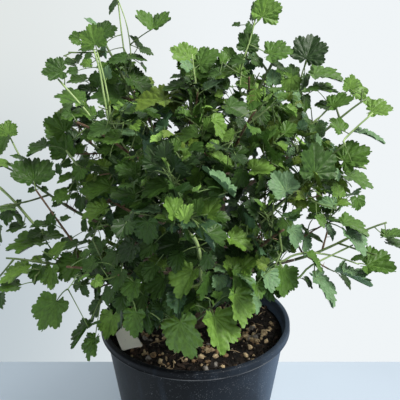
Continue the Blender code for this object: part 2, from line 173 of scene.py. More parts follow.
class Recipe:
    """A material's or a world's node tree, written one step at a time around its shader."""

    def __init__(self, name: str, world: bool = False) -> None:
        """Starts a material or a world.

        Args:
            name: its name.
            world: whether it is a world.
        """
        self.made = (bpy.data.worlds if world else bpy.data.materials).new(name)
        self.made.use_nodes = True
        self.tree = self.made.node_tree
        self.shader = self.tree.nodes["Background" if world else "Principled BSDF"]
        self.place = self.node("TexCoord", "Generated" if world else "Object", {})

    def node(self, kind: str, result: str | int, inputs: dict, **settings: str) -> Socket:
        """Adds a node and feeds it.

        Args:
            kind: its Blender type, without ShaderNode.
            result: which of its outputs to return.
            inputs: what each of its inputs gets.
            settings: its plain attributes.

        Returns:
            That output.
        """
        made = self.tree.nodes.new(f"ShaderNode{kind}")
        for key, value in settings.items():
            setattr(made, key, value)
        for key, value in inputs.items():
            self.feed(made.inputs[key], value)
        return made.outputs[result]

    def feed(self, socket: Socket, value: Socket | Triple | float) -> None:
        """Gives an input either a linked output or a plain value.

        Args:
            socket: the input.
            value: the output or the value.
        """
        if isinstance(value, Socket):
            self.tree.links.new(value, socket)
        else:
            socket.default_value = (*value, 1.0) if socket.type == "RGBA" else value

    def axis(self, name: str) -> Socket:
        """One of the coordinates."""
        return self.node("SeparateXYZ", name, {"Vector": self.place})

    def stretched(self, scale: Triple, uv: str = "") -> Socket:
        """Object coordinates, or those of the named UV map, scaled on each axis."""
        source = self.node("UVMap", "UV", {}, uv_map=uv) if uv else self.place
        return self.node("Mapping", "Vector", {"Scale": scale, "Vector": source})

    def noise(self, scale: float, detail: float, where: Socket | None = None) -> Socket:
        """Cloudy noise of about 0.3 to 0.7, with so many clouds to a metre and so many finer octaves."""
        where = self.place if where is None else where
        return self.node("TexNoise", "Fac", {"Scale": scale, "Detail": detail, "Vector": where})

    def cells(self, scale: float) -> Socket:
        """Distance from the middle of each scattered cell."""
        return self.node("TexVoronoi", "Distance", {"Scale": scale, "Vector": self.place})

    def span(self, value: Socket, low: float, high: float, first: float = 0.0, last: float = 1.0) -> Socket:
        """Maps low and everything under it to first, and high and everything over it to last."""
        ends = {"From Min": low, "From Max": high, "To Min": first, "To Max": last}
        return self.node("MapRange", "Result", {"Value": value, **ends})

    def work(self, operation: str, first: Socket | float, second: Socket | float) -> Socket:
        """One step of arithmetic on two values."""
        return self.node("Math", "Value", {0: first, 1: second}, operation=operation)

    def blend(self, share: Socket, first: Socket | Triple, second: Socket | Triple) -> Socket:
        """Mixes two colours, by how much of the second shows."""
        return self.node("Mix", 2, {0: share, 6: first, 7: second}, data_type="RGBA")

    def relief(self, height: Socket, strength: float, distance: float) -> None:
        """Raises the surface by a height pattern, so strongly and so far in metres."""
        pattern = {"Strength": strength, "Distance": distance, "Height": height}
        self.feed(self.shader.inputs["Normal"], self.node("Bump", "Normal", pattern))

    def surface(self, colour: Socket, roughness: Socket | float, specular: float) -> Material:
        """Sets the shader's colour, roughness and specular level, and hands the material over.

        Args:
            colour: the base colour.
            roughness: the roughness.
            specular: the specular level.

        Returns:
            The finished material.
        """
        values = {"Base Color": colour, "Roughness": roughness, "Specular IOR Level": specular}
        for key, value in values.items():
            self.feed(self.shader.inputs[key], value)
        return self.made


def shade(colour: Triple, factor: float) -> Triple:
    """The colour made lighter or darker by a factor."""
    return tuple(min(1.0, part * factor) for part in colour)


@dataclass(frozen=True)
class LeafFinish:
    """Leaf tissue: one base colour, faintly mottled, over a finely puckered skin."""

    name: str
    colour: Triple
    roughness: float = 0.48
    mottling: float = 0.18

    def make(self) -> Material:
        """Builds the material."""
        recipe = Recipe(self.name)
        clouds = recipe.span(recipe.noise(240.0, 3.0), 0.35, 0.65)
        dark, light = (shade(self.colour, 1 + change) for change in (-self.mottling, self.mottling))
        colour = recipe.blend(clouds, dark, light)
        recipe.relief(recipe.noise(420.0, 3.0), 0.35, 0.0010)
        rough = recipe.span(clouds, 0.0, 1.0, self.roughness - 0.05, self.roughness + 0.07)
        return recipe.surface(colour, rough, 0.28)


class Tint(Enum):
    """The colours that sprays of leaves come in, and the one of the veins of the palest. The near-black shade
    green is painted shade, for leaves where shade falls, and the pale bluish green is a painted sheen, for
    leaves that catch the light.
    """

    SHADE = LeafFinish("leaf_painted_shade_green", (0.017, 0.042, 0.009))
    DEEP = LeafFinish("leaf_deep_green", (0.035, 0.082, 0.013))
    COOL = LeafFinish("leaf_cool_green", (0.040, 0.088, 0.040), 0.42)
    MID = LeafFinish("leaf_mid_green", (0.064, 0.138, 0.020))
    OLIVE = LeafFinish("leaf_olive_green", (0.100, 0.160, 0.020))
    FRESH = LeafFinish("leaf_fresh_green", (0.112, 0.212, 0.033))
    YOUNG = LeafFinish("leaf_young_green", (0.188, 0.330, 0.060))
    # A pale bluish green that stands for light reflected off the leaves: painted sheen
    GLAUCOUS = LeafFinish("leaf_painted_sheen_green", (0.115, 0.210, 0.096), 0.50)
    PALE = LeafFinish("leaf_pale_vein", (0.220, 0.345, 0.095))


TINTS = tuple(Tint)
S, D, C, M, O, F, Y, G, P = TINTS
LIGHTER = tuple(TINTS.index(tint) for tint in (D, M, M, F, F, Y, P, P, P))  # the veins' tint on each


@dataclass(frozen=True)
class BarkFinish:
    """Bark with streaks along the limb, lighter flakes and dark cracks."""

    name: str
    dark: Triple
    light: Triple
    streaks: float = 7.0

    def make(self) -> Material:
        """Builds the material."""
        recipe = Recipe(self.name)
        streak = recipe.noise(1.0, 5.0, recipe.stretched((self.streaks, 30.0, 1.0), "grain"))
        flakes = recipe.span(recipe.noise(220.0, 4.0), 0.42, 0.60)
        colour = recipe.blend(recipe.span(streak, 0.35, 0.65), self.dark, self.light)
        colour = recipe.blend(recipe.work("MULTIPLY", flakes, 0.45), colour, shade(self.light, 1.5))
        recipe.relief(recipe.work("ADD", streak, recipe.work("MULTIPLY", flakes, 0.4)), 0.6, 0.0009)
        return recipe.surface(colour, recipe.span(streak, 0.3, 0.7, 0.72, 0.92), 0.25)


@dataclass(frozen=True)
class ShootFinish:
    """Soft green rind of shoots and leaf stalks, flushed along its length."""

    name: str
    colour: Triple
    flush: Triple

    def make(self) -> Material:
        """Builds the material."""
        recipe = Recipe(self.name)
        share = recipe.span(recipe.noise(45.0, 3.0), 0.42, 0.68)
        recipe.relief(recipe.noise(1400.0, 2.0), 0.2, 0.0003)
        colour = recipe.blend(share, self.colour, self.flush)
        return recipe.surface(colour, recipe.span(share, 0.0, 1.0, 0.42, 0.55), 0.4)


@dataclass(frozen=True)
class PotFinish:
    """Black moulded plastic under dust, scuffs, haze and specks, with painted light: the haze and the powder
    thicken towards +X, and a pale band runs up that side as a painted sheen. A pale broken line along the
    bead is a painted highlight.
    """

    name: str = "pot_plastic_black"
    plastic: Triple = (0.0040, 0.0048, 0.0060)
    # Bluish dust, which also carries the painted sheen on the +X side
    dust_and_sheen: Triple = (0.046, 0.067, 0.100)
    speck: Triple = (0.36, 0.38, 0.40)
    bead_height: float = 0.1912

    def make(self) -> Material:
        """Builds the material."""
        recipe = Recipe(self.name)
        x, z = recipe.axis("X"), recipe.axis("Z")
        haze_and_sheen = recipe.span(recipe.noise(14.0, 5.0), 0.36, 0.74, 0.05, 0.16)
        # The haze grows strongly towards +X: dust, and also a painted sheen
        haze_and_sheen = recipe.work("MULTIPLY", haze_and_sheen, recipe.span(x, -0.01, 0.11, 0.15, 5.6))
        upright = recipe.noise(60.0, 4.0, recipe.stretched((1.0, 1.0, 0.18)))
        dust_and_sheen_share = recipe.work("ADD", haze_and_sheen, recipe.span(upright, 0.56, 0.74, 0.0, 0.20))
        size = recipe.span(recipe.noise(150.0, 2.0), 0.50, 0.80, 0.0, 0.26)
        specks = recipe.work("LESS_THAN", recipe.cells(520.0), size)
        size = recipe.span(recipe.noise(70.0, 3.0), 0.36, 0.66, 0.10, 0.30)
        powder = recipe.work("LESS_THAN", recipe.cells(430.0), size)
        # Painted sheen: a pale band up the +X side, weaker on the rim
        side = recipe.span(x, 0.074, 0.112, 0.0, 0.90)
        # Painted highlight: a pale, broken line along the bead
        away = recipe.work("ABSOLUTE", recipe.work("SUBTRACT", z, self.bead_height), 0.0)
        bead_highlight_patches = recipe.span(recipe.noise(25.0, 3.0), 0.35, 0.60)
        colour = recipe.blend(dust_and_sheen_share, self.plastic, self.dust_and_sheen)
        for share, factor, layer in (
            (side, recipe.span(z, 0.186, 0.192, 1.0, 0.45), shade(self.dust_and_sheen, 2.3)),
            # The powder thickens towards +X, partly as painted sheen
            (powder, recipe.span(x, -0.06, 0.12, 0.05, 0.38), shade(self.speck, 0.75)),
            (specks, 0.55, self.speck),
            (recipe.span(away, 0.0002, 0.0008, 0.75, 0.0), bead_highlight_patches, shade(self.speck, 0.45)),
        ):
            colour = recipe.blend(recipe.work("MULTIPLY", share, factor), colour, layer)
        grain = recipe.work("ADD", recipe.noise(1500.0, 2.0), recipe.work("MULTIPLY", haze_and_sheen, 1.5))
        recipe.relief(grain, 0.16, 0.0004)
        return recipe.surface(colour, recipe.span(haze_and_sheen, 0.0, 0.3, 0.36, 0.55), 0.09)


@dataclass(frozen=True)
class SoilFinish:
    """Moist potting compost: nearly black, with brown and ochre fibres."""

    name: str = "potting_compost"
    dark: Triple = (0.0045, 0.0040, 0.0035)
    brown: Triple = (0.018, 0.013, 0.009)
    fibre: Triple = (0.060, 0.046, 0.030)

    def make(self) -> Material:
        """Builds the material."""
        recipe = Recipe(self.name)
        clouds = recipe.noise(110.0, 6.0)
        threads = recipe.noise(380.0, 4.0, recipe.stretched((1.0, 0.25, 1.0)))
        colour = recipe.blend(recipe.span(clouds, 0.40, 0.68), self.dark, self.brown)
        colour = recipe.blend(recipe.span(threads, 0.60, 0.70, 0.0, 0.5), colour, self.fibre)
        recipe.relief(recipe.work("ADD", recipe.cells(420.0), clouds), 0.9, 0.0020)
        return recipe.surface(colour, recipe.span(clouds, 0.3, 0.7, 0.80, 0.98), 0.25)


@dataclass(frozen=True)
class GritFinish:
    """Bits on the compost: one colour, dirtied unevenly."""

    name: str
    colour: Triple
    dirt: Triple
    roughness: float = 0.8

    def make(self) -> Material:
        """Builds the material."""
        recipe = Recipe(self.name)
        share = recipe.span(recipe.noise(260.0, 4.0), 0.40, 0.66)
        recipe.relief(recipe.noise(900.0, 4.0), 0.5, 0.0006)
        rough = recipe.span(share, 0.0, 1.0, self.roughness - 0.1, self.roughness + 0.1)
        return recipe.surface(recipe.blend(share, self.colour, self.dirt), rough, 0.3)


@dataclass(frozen=True)
class LabelFinish:
    """Cream plastic card, clouded with dried splashes of compost."""

    name: str = "label_card"
    cream: Triple = (0.900, 0.880, 0.780)
    dirt: Triple = (0.240, 0.200, 0.140)

    def make(self) -> Material:
        """Builds the material."""
        recipe = Recipe(self.name)
        stains = recipe.span(recipe.noise(90.0, 6.0), 0.60, 0.78, 0.0, 0.60)
        recipe.relief(recipe.noise(700.0, 2.0), 0.15, 0.0003)
        rough = recipe.span(stains, 0.0, 0.75, 0.42, 0.75)
        return recipe.surface(recipe.blend(stains, self.cream, self.dirt), rough, 0.45)


Finish = LeafFinish | BarkFinish | ShootFinish | PotFinish | SoilFinish | GritFinish | LabelFinish


class Paintbox:
    """Makes each finish once and hands the same material out again."""

    def __init__(self) -> None:
        """Starts with no materials."""
        self.made: dict[str, Material] = {}

    def get(self, *finishes: Finish) -> list[Material]:
        """The material of each finish, made on its first call."""
        self.made.update({one.name: one.make() for one in finishes if one.name not in self.made})
        return [self.made[one.name] for one in finishes]


PAINTS = Paintbox()

OLD_WOOD = BarkFinish("bark_old_wood", (0.055, 0.038, 0.027), (0.185, 0.140, 0.100))
YOUNG_WOOD = BarkFinish("bark_young_wood", (0.070, 0.040, 0.024), (0.150, 0.098, 0.060), 5.0)
GREEN_SHOOT = ShootFinish("shoot_green", (0.110, 0.170, 0.050), (0.070, 0.100, 0.032))
PALE_SHOOT = ShootFinish("shoot_pale_green", (0.350, 0.470, 0.190), (0.250, 0.360, 0.120))
LEAF_STALK = ShootFinish("leaf_stalk_green", (0.140, 0.215, 0.062), (0.085, 0.145, 0.040))
SPINE_HORN = ShootFinish("spine_horn", (0.300, 0.220, 0.120), (0.160, 0.095, 0.050))


@dataclass
class Pile:
    """Points and faces gathered from many small shapes, to become one mesh."""

    points: list = field(default_factory=list)
    loops: list = field(default_factory=list)
    totals: list = field(default_factory=list)
    slots: list = field(default_factory=list)
    uvs: list = field(default_factory=list)
    count: int = 0

    def add(self, points: Array, faces: list, uv: Array | None = None, slot: int | Array = 0) -> "Pile":
        """Adds a shape.

        Args:
            points: its points, (n, 3).
            faces: arrays of corner numbers, each (m, k), for its faces of k corners.
            uv: a UV for each corner, in the faces' order.
            slot: its material slot, or one for each face.

        Returns:
            The pile.
        """
        loops = np.concatenate([np.asarray(f).ravel() for f in faces]) + self.count
        totals = np.concatenate([np.full(len(f), np.asarray(f).shape[1]) for f in faces])
        self.points.append(points.reshape(-1, 3))
        self.loops.append(loops)
        self.totals.append(totals)
        self.slots.append(np.broadcast_to(slot, len(totals)))
        self.uvs.append(np.zeros((len(loops), 2)) if uv is None else uv)
        self.count += len(points.reshape(-1, 3))
        return self

    def mesh(self, name: str, smooth: bool | Array = True, uv: str = "") -> Mesh:
        """Makes the mesh.

        Args:
            name: its name.
            smooth: whether its faces are smooth, or one answer for each.
            uv: the name of its UV map, or nothing for none.

        Returns:
            The mesh.
        """
        points, loops = np.concatenate(self.points), np.concatenate(self.loops)
        totals, slots = np.concatenate(self.totals), np.concatenate(self.slots)
        mesh = bpy.data.meshes.new(name)
        mesh.vertices.add(len(points))
        mesh.vertices.foreach_set("co", points.astype(np.float32).ravel())
        mesh.loops.add(len(loops))
        mesh.loops.foreach_set("vertex_index", loops.astype(np.int32))
        mesh.polygons.add(len(totals))
        starts = np.concatenate([[0], np.cumsum(totals)[:-1]])
        mesh.polygons.foreach_set("loop_start", starts.astype(np.int32))
        mesh.polygons.foreach_set("material_index", slots.astype(np.int32))
        mesh.polygons.foreach_set("use_smooth", np.full(len(totals), smooth))
        if uv:
            layer = mesh.uv_layers.new(name=uv)
            layer.data.foreach_set("uv", np.concatenate(self.uvs).astype(np.float32).ravel())
        mesh.update(calc_edges=True)
        mesh.validate()
        return mesh


def place_piece(mesh: Mesh, materials: list[Material], slot: str, *replaces: str) -> bpy.types.Object:
    """Puts a finished mesh in the scene as a piece that rides on the plant, under the mesh's name.

    Args:
        mesh: its mesh, in the row's frame.
        materials: the materials of its slots.
        slot: the record's material slot; not used.
        replaces: the solids' nodes that it stands for.

    Returns:
        The object.
    """
    for material in materials:
        mesh.materials.append(material)
    piece = bpy.data.objects.new(mesh.name, mesh)
    bpy.context.scene.collection.objects.link(piece)
    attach(piece, ROOT)
    if replaces:
        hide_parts(*replaces)
    log.info("%s: %d faces", piece.name, len(mesh.polygons))
    return piece


def unit(vectors: Array) -> Array:
    """Each vector at length 1."""
    return vectors / np.maximum(np.linalg.norm(vectors, axis=-1, keepdims=True), 1e-12)


def turns(sides: int) -> Array:
    """Equal turns round a circle, in radians."""
    return 2 * np.pi * np.arange(sides) / sides


def around(radius: Array | float, turn: Array, height: Array | float) -> Array:
    """Points at a radius and a turn about Z and at a height, on the grid that the three span."""
    return np.stack(np.broadcast_arrays(radius * np.cos(turn), radius * np.sin(turn), height), -1)


def distances(path: Array) -> Array:
    """The length along paths, (..., n, 3), up to each point: the sum of the steps before it."""
    steps = np.linalg.norm(np.diff(path, axis=-2), axis=-1)
    return np.concatenate([np.zeros((*steps.shape[:-1], 1)), np.cumsum(steps, axis=-1)], axis=-1)


def lattice_noise(points: Array, seed: int) -> Array:
    """Smooth noise of about -1 to 1: seeded values on a whole-number lattice, blended by smoothstep.

    Args:
        points: where to read it, (..., 3), one lattice step to a unit.
        seed: which noise.

    Returns:
        The noise at each point.
    """
    cell = np.floor(points).astype(np.int64)
    part = points - cell
    part = part * part * (3 - 2 * part)
    total = np.zeros(points.shape[:-1])
    for corner in range(8):
        step = np.array([corner & 1, corner >> 1 & 1, corner >> 2 & 1])
        at = cell + step
        key = at[..., 0] * 374761393 + at[..., 1] * 668265263 + at[..., 2] * 2147483647 + seed * 1274126177
        key = (key ^ (key >> 13)) * 1274126177
        value = ((key ^ (key >> 16)) & 0xFFFF) / 32767.5 - 1.0
        total += np.prod(np.where(step == 1, part, 1 - part), axis=-1) * value
    return total


def cubic(t: Array | float) -> tuple:
    """A cubic's weights at t for its start, its slope there, its end and its slope there."""
    return 2 * t**3 - 3 * t**2 + 1, t**3 - 2 * t**2 + t, 3 * t**2 - 2 * t**3, t**3 - t**2


def smooth_path(path: list | Array, count: int) -> Array:
    """A smooth curve through a path's points: a cubic between each two, by their neighbours' chord.

    Args:
        path: the points.
        count: how many points the curve gets.

    Returns:
        The curve, (count, 3).
    """
    points = np.array([tuple(p) for p in path], float)
    slopes = np.gradient(points, axis=0)
    where = np.linspace(0, len(points) - 1, count)
    low = np.minimum(where.astype(int), len(points) - 2)
    start, set_out, end, arrive = cubic((where - low)[:, None])
    return start * points[low] + set_out * slopes[low] + end * points[low + 1] + arrive * slopes[low + 1]


def tube_faces(rings: int, sides: int) -> list[Array]:
    """Faces of a closed tube: quads between its rings and a fan over each end, whose middles come last.

    Args:
        rings: how many rings it has.
        sides: how many points a ring has.

    Returns:
        The quads, (n, 4), and the fans' triangles, (2 * sides, 3).
    """
    ring, side = np.meshgrid(np.arange(rings - 1) * sides, np.arange(sides), indexing="ij")
    after = (side + 1) % sides
    quads = np.stack([ring + side, ring + sides + side, ring + sides + after, ring + after], -1)
    here, following, last = side[0], after[0], (rings - 1) * sides
    low_fan = np.stack([np.full(sides, rings * sides), here, following], -1)
    high_fan = np.stack([np.full(sides, rings * sides + 1), last + following, last + here], -1)
    return [quads.reshape(-1, 4), np.concatenate([low_fan, high_fan])]


def sweep(paths: Array, radii: Array, sides: int) -> tuple[Array, list, Array]:
    """Round tubes along paths: ring k of a tube is its point k plus radius times (cos, sin) across.

    Args:
        paths: the middle lines, (tubes, points, 3).
        radii: the radius at each point, (tubes, points), or (tubes, points, sides) for each corner.
        sides: how many sides a ring has.

    Returns:
        The points, the faces, and a UV for each corner of the faces: the turn round the tube, and
        the length along it in metres.
    """
    tubes, rings = paths.shape[:2]
    ways = unit(np.gradient(paths, axis=1))
    mean = unit(paths[:, -1] - paths[:, 0])
    helper = np.where(np.abs(mean[:, 2:3]) > 0.8, np.array([[1.0, 0.0, 0.0]]), np.array([[0.0, 0.0, 1.0]]))
    across = unit(np.cross(ways, helper[:, None, :]))
    other = np.cross(ways, across)
    turn = turns(sides)[:, None]
    wide = radii if radii.ndim == 3 else radii[..., None]
    wide = np.broadcast_to(wide, (tubes, rings, sides))[..., None]
    spoke = np.cos(turn) * across[:, :, None, :] - np.sin(turn) * other[:, :, None, :]
    skin = paths[:, :, None, :] + wide * spoke
    points = np.concatenate([skin.reshape(tubes, -1, 3), paths[:, :1], paths[:, -1:]], axis=1)
    offset = (np.arange(tubes) * (rings * sides + 2))[:, None, None]
    faces = [(part + offset).reshape(-1, part.shape[1]) for part in tube_faces(rings, sides)]
    ring, side = np.meshgrid(np.arange(rings - 1), np.arange(sides), indexing="ij")
    u = np.stack([side, side, side + 1, side + 1], -1).reshape(-1, 4) / sides
    v = np.stack([ring, ring + 1, ring + 1, ring], -1).reshape(-1, 4)
    quad_uv = np.stack([np.broadcast_to(u, (tubes, *u.shape)), distances(paths)[:, v]], -1).reshape(-1, 2)
    return points.reshape(-1, 3), faces, np.concatenate([quad_uv, np.zeros((tubes * 2 * sides * 3, 2))])


def turned(profile: Array, sides: int) -> tuple[Array, list]:
    """A turned shape: each profile point (radius, height) swept round Z, the two ends on the axis.

    Args:
        profile: the points, (n, 2), from one end on the axis to the other.
        sides: how many sides a turn has.

    Returns:
        The points and the faces, which close at the axis.
    """
    rings = around(profile[1:-1, :1], turns(sides), profile[1:-1, 1:])
    ends = np.array([[0.0, 0.0, profile[0, 1]], [0.0, 0.0, profile[-1, 1]]])
    faces = [np.roll(part[:, ::-1], 1, axis=1) for part in tube_faces(len(rings), sides)]
    return np.concatenate([rings.reshape(-1, 3), ends]), faces


def wall_radius(height: float) -> float:
    """Outer radius of the pot's wall at a height."""
    return RIM_RADIUS - RIM_PROUD - WALL_SLOPE * (POT_HEIGHT - height)


def arc(centre: tuple[float, float], radius: float, start: float, end: float, steps: int) -> Array:
    """Points of an arc in the profile plane, angles in degrees."""
    return np.array(centre) + around(radius, np.radians(np.linspace(start, end, steps + 1)), 0.0)[:, :2]


@dataclass(frozen=True)
class PhotoView:
    """The camera that took the photo."""

    focal: float = 430.0
    centre: float = FRAME / 2
    place: Triple = (0.006, -0.532, 0.506)
    tilt: float = math.radians(15.1)

    def axes(self) -> tuple[Vector, Vector, Vector]:
        """The camera's right, up and forward."""
        sin, cos = math.sin(self.tilt), math.cos(self.tilt)
        return Vector((1, 0, 0)), Vector((0, sin, cos)), Vector((0, cos, -sin))

    def point(self, u: float, v: float, y: float) -> Vector:
        """The point at depth y that shows at a pixel.

        Args:
            u: pixels from the left.
            v: pixels from the top.
            y: the point's Y, in metres.

        Returns:
            The point.
        """
        right, up, forward = self.axes()
        ray = (u - self.centre) * right + (self.centre - v) * up + self.focal * forward
        start = Vector(self.place)
        return start + ray * ((y - start.y) / ray.y)

    def pixels(self, points: Array) -> tuple[Array, Array]:
        """Where points show.

        Args:
            points: the points, (n, 3).

        Returns:
            Their pixels, (n, 2), and how far ahead of the camera they are.
        """
        right, up, forward = (np.array(axis) for axis in self.axes())
        off = points - np.array(self.place)
        ahead = off @ forward
        u = self.centre + self.focal * (off @ right) / ahead
        v = self.centre - self.focal * (off @ up) / ahead
        return np.stack([u, v], -1), ahead


@dataclass(frozen=True)
class SkyMap:
    """Where the photo shows wall and not leaves: outside the crown's outline, and in its windows.

    A corner of the outline is (u, v) and a window is (u, v, half its width, half its height).
    """

    outline: tuple = (
        (128, 56), (140, 72), (156, 80), (154, 92), (172, 96), (180, 80), (180, 70), (174, 58), (174, 46),
        (216, 48), (222, 62), (240, 56), (240, 36), (257, 38), (256, 60), (268, 70), (284, 64), (302, 78),
        (308, 92), (306, 118), (326, 122), (328, 142), (362, 146), (370, 168), (362, 186), (348, 208),
        (332, 214), (300, 216), (290, 226), (300, 246), (280, 262), (298, 286), (284, 298), (268, 302),
        (262, 308), (250, 314), (236, 308), (222, 302), (204, 310), (192, 322), (166, 316), (154, 334),
        (124, 338), (100, 338), (104, 318), (90, 304), (92, 284), (80, 280), (60, 282), (54, 262), (68, 250),
        (86, 250), (88, 228), (84, 198), (72, 184), (70, 162), (48, 150), (44, 124), (60, 108), (70, 88),
        (88, 82), (98, 58),
    )  # fmt: skip
    windows: tuple = (
        (219, 112, 5, 8), (249, 120, 6, 4), (278, 84, 5, 4), (260, 70, 6, 3), (296, 169, 6, 5),
        (299, 141, 6, 5), (352, 188, 6, 4), (257, 72, 4, 4), (233, 83, 2, 4), (226, 96, 3, 3),
        (259, 152, 2, 4), (252, 162, 3, 4), (231, 94, 3, 5), (190, 106, 7, 6), (172, 127, 4, 4),
        (130, 93, 6, 3), (78, 127, 8, 3), (90, 144, 8, 6), (95, 157, 6, 4), (76, 157, 3, 3), (75, 121, 8, 2),
        (94, 104, 5, 6), (103, 118, 5, 3), (115, 240, 3, 4), (99, 234, 8, 6), (266, 201, 3, 3),
        (260, 237, 5, 3), (281, 201, 5, 5), (273, 209, 5, 4), (290, 208, 4, 5), (314, 193, 4, 4),
        (328, 197, 5, 4), (305, 211, 4, 3), (279, 216, 4, 3), (345, 168, 5, 4), (149, 123, 4, 3),
        (106, 308, 6, 4), (105, 287, 5, 3), (88, 288, 4, 5), (288, 256, 7, 5), (344, 150, 3, 3),
        (320, 136, 4, 4), (262, 168, 3, 2), (165, 92, 6, 2), (284, 102, 4, 2), (246, 98, 4, 2),
        (196, 130, 3, 3), (226, 122, 4, 2),
    )  # fmt: skip

    def samples(self) -> Array:
        """A pixel at each window's middle, and eight part of the way to its edge."""
        turn = np.pi / 4 * np.arange(8)
        ring = np.concatenate([0.7 * np.stack([np.cos(turn), np.sin(turn)], -1), [[0, 0]]])
        holes = np.array(self.windows, float)
        return (holes[:, None, :2] + ring * holes[:, None, 2:]).reshape(-1, 2)

    @staticmethod
    def inside(pixels: Array, corners: Array) -> Array:
        """Which pixels lie inside a polygon, by counting the edges to their right.

        Args:
            pixels: the pixels, (n, 2).
            corners: the polygon's corners, (k, 2).

        Returns:
            True for each pixel inside, (n,).
        """
        u, v = pixels[:, :1], pixels[:, 1:]
        ends = np.roll(corners, -1, axis=0)
        rise = np.where(ends[:, 1] == corners[:, 1], 1e-9, ends[:, 1] - corners[:, 1])
        crosses = (corners[:, 1] > v) != (ends[:, 1] > v)
        right = u < corners[:, 0] + (ends[:, 0] - corners[:, 0]) / rise * (v - corners[:, 1])
        return (crosses & right).sum(1) % 2 == 1

    def in_window(self, pixels: Array) -> Array:
        """Which pixels lie in a window, (n,)."""
        holes = np.array(self.windows, float)
        return ((((pixels[:, None] - holes[:, :2]) / holes[:, 2:]) ** 2).sum(-1) < 1.2).any(1)

    def blocked(self, pixels: Array) -> bool:
        """Whether a leaf of that outline would cover sky that the photo shows."""
        covers = self.inside(SKY_SAMPLES, pixels).any()
        return bool(covers) or float(self.inside(pixels, SKY_OUTLINE).mean()) < SKY_SHARE


PHOTO = PhotoView()
SKY = SkyMap()
SKY_SAMPLES = SKY.samples()
SKY_OUTLINE = np.array(SKY.outline, float)


def arch(start: Vector, set_out: Vector, end: Vector, arrive: Vector, count: int) -> list[Vector]:
    """Points of a smooth curve that sets out one way and arrives another: a cubic by end and slope.

    Args:
        start: where it starts.
        set_out: its direction there.
        end: where it ends.
        arrive: its direction there.
        count: how many points it has.

    Returns:
        The points.
    """
    reach, points = (end - start).length, []
    for i in range(count):
        first, leave, last, reach_in = cubic(i / (count - 1))
        points.append(first * start + leave * reach * set_out + last * end + reach_in * reach * arrive)
    return points


def along(path: list[Vector], share: float) -> tuple[Vector, Vector]:
    """The place and direction at a share of the path's points.

    Args:
        path: the path.
        share: how far along it, from 0 to 1.

    Returns:
        The place, and the direction there.
    """
    where = share * (len(path) - 1)
    i = min(int(where), len(path) - 2)
    return path[i].lerp(path[i + 1], where - i), (path[i + 1] - path[i]).normalized()


def side_way(way: Vector, turn: float, spread: float) -> Vector:
    """A direction that leaves another at an angle.

    Args:
        way: the other direction.
        turn: where round it the new one leaves.
        spread: the angle between them.

    Returns:
        The direction.
    """
    side = way.orthogonal().normalized()
    side.rotate(Matrix.Rotation(turn, 3, way))
    return (math.cos(spread) * way + math.sin(spread) * side).normalized()


def twig_path(start: Vector, way: Vector, length: float, lift: float) -> list[Vector]:
    """A short curve that bends upwards as it grows.

    Args:
        start: where it starts.
        way: its first direction.
        length: its length.
        lift: how much it bends at each step.

    Returns:
        Its points.
    """
    path = [start]
    for _ in range(TWIG_POINTS - 1):
        way = (way + Vector((0.0, 0.0, lift))).normalized()
        path.append(path[-1] + way * length / (TWIG_POINTS - 1))
    return path


def prism(path: list[Vector], radius: float, first: int = 0) -> tuple[list, list]:
    """A four-sided sleeve along a path, for the tests of clearance.

    Args:
        path: the middle line.
        radius: how far its corners are from it.
        first: the number of its first point.

    Returns:
        Its points and its side faces.
    """
    points, faces = [], []
    for i, place in enumerate(path):
        way = (path[min(i + 1, len(path) - 1)] - path[max(i - 1, 0)]).normalized()
        side = way.orthogonal().normalized()
        other = way.cross(side)
        for turn in range(4):
            angle = math.pi * turn / 2
            points.append(place + radius * (math.cos(angle) * side + math.sin(angle) * other))
    for i in range(len(path) - 1):
        for turn in range(4):
            a, b = first + 4 * i + turn, first + 4 * i + (turn + 1) % 4
            faces.append((a, b, b + 4, a + 4))
    return points, faces


class Room:
    """The room of one mass: a ball about its middle, shared out flat with its neighbours."""

    def __init__(self, mass: Mass) -> None:
        """Works out the flat walls that a mass shares with the others.

        Args:
            mass: the mass whose room it is.
        """
        self.middle, self.radius, self.walls = Vector(mass.middle), mass.radius, []
        for other in MASSES:
            if other != mass:
                away = Vector(other.middle) - self.middle
                share = (away.length_squared + self.radius**2 - other.radius**2) / (2 * away.length)
                self.walls.append((away.normalized(), share))
        self.ways = np.array([way for way, _ in self.walls])
        self.shares = np.array([share for _, share in self.walls])

    def holds_all(self, points: Array, margin: float) -> bool:
        """The same test as holds, for an array of points.

        Args:
            points: the points, (n, 3).
            margin: how far inside they must be.

        Returns:
            Whether all are.
        """
        offset = points - np.array(self.middle)
        near = (np.linalg.norm(offset, axis=1) <= self.radius - margin).all()
        return bool(near and (offset @ self.ways.T <= self.shares - margin).all())

    def holds(self, points: list[Vector], margin: float) -> bool:
        """Whether every point is inside the room.

        Args:
            points: the points.
            margin: how far inside they must be.

        Returns:
            Whether all are.
        """
        for offset in (point - self.middle for point in points):
            if offset.length > self.radius - margin:
                return False
            if any(offset.dot(way) > share - margin for way, share in self.walls):
                return False
        return True


class Wood(Enum):
    """What a twig is made of."""

    OLD = 0
    GREEN = 1
    PALE = 2


@dataclass
class Twig:
    """A twig's middle line, its radii and its wood.

    rank is 0 for a leader, 1 for a side twig, 2 for a finer one and 3 for a shoot that the photo
    shows. used is the share of it that carries something, and a barred twig carries nothing more.
    """

    path: list[Vector]
    root: float
    tip: float
    rank: int
    wood: Wood
    mass: str
    parent: "Twig | None" = None
    share: float = 0.0
    used: float = 0.0
    barred: bool = False


GREEN_LEADERS = {
    "top_left", "top_right", "left_high", "left_low", "left_mid", "right_low", "right_high", "right_mid",
    "front_middle",
}  # fmt: skip


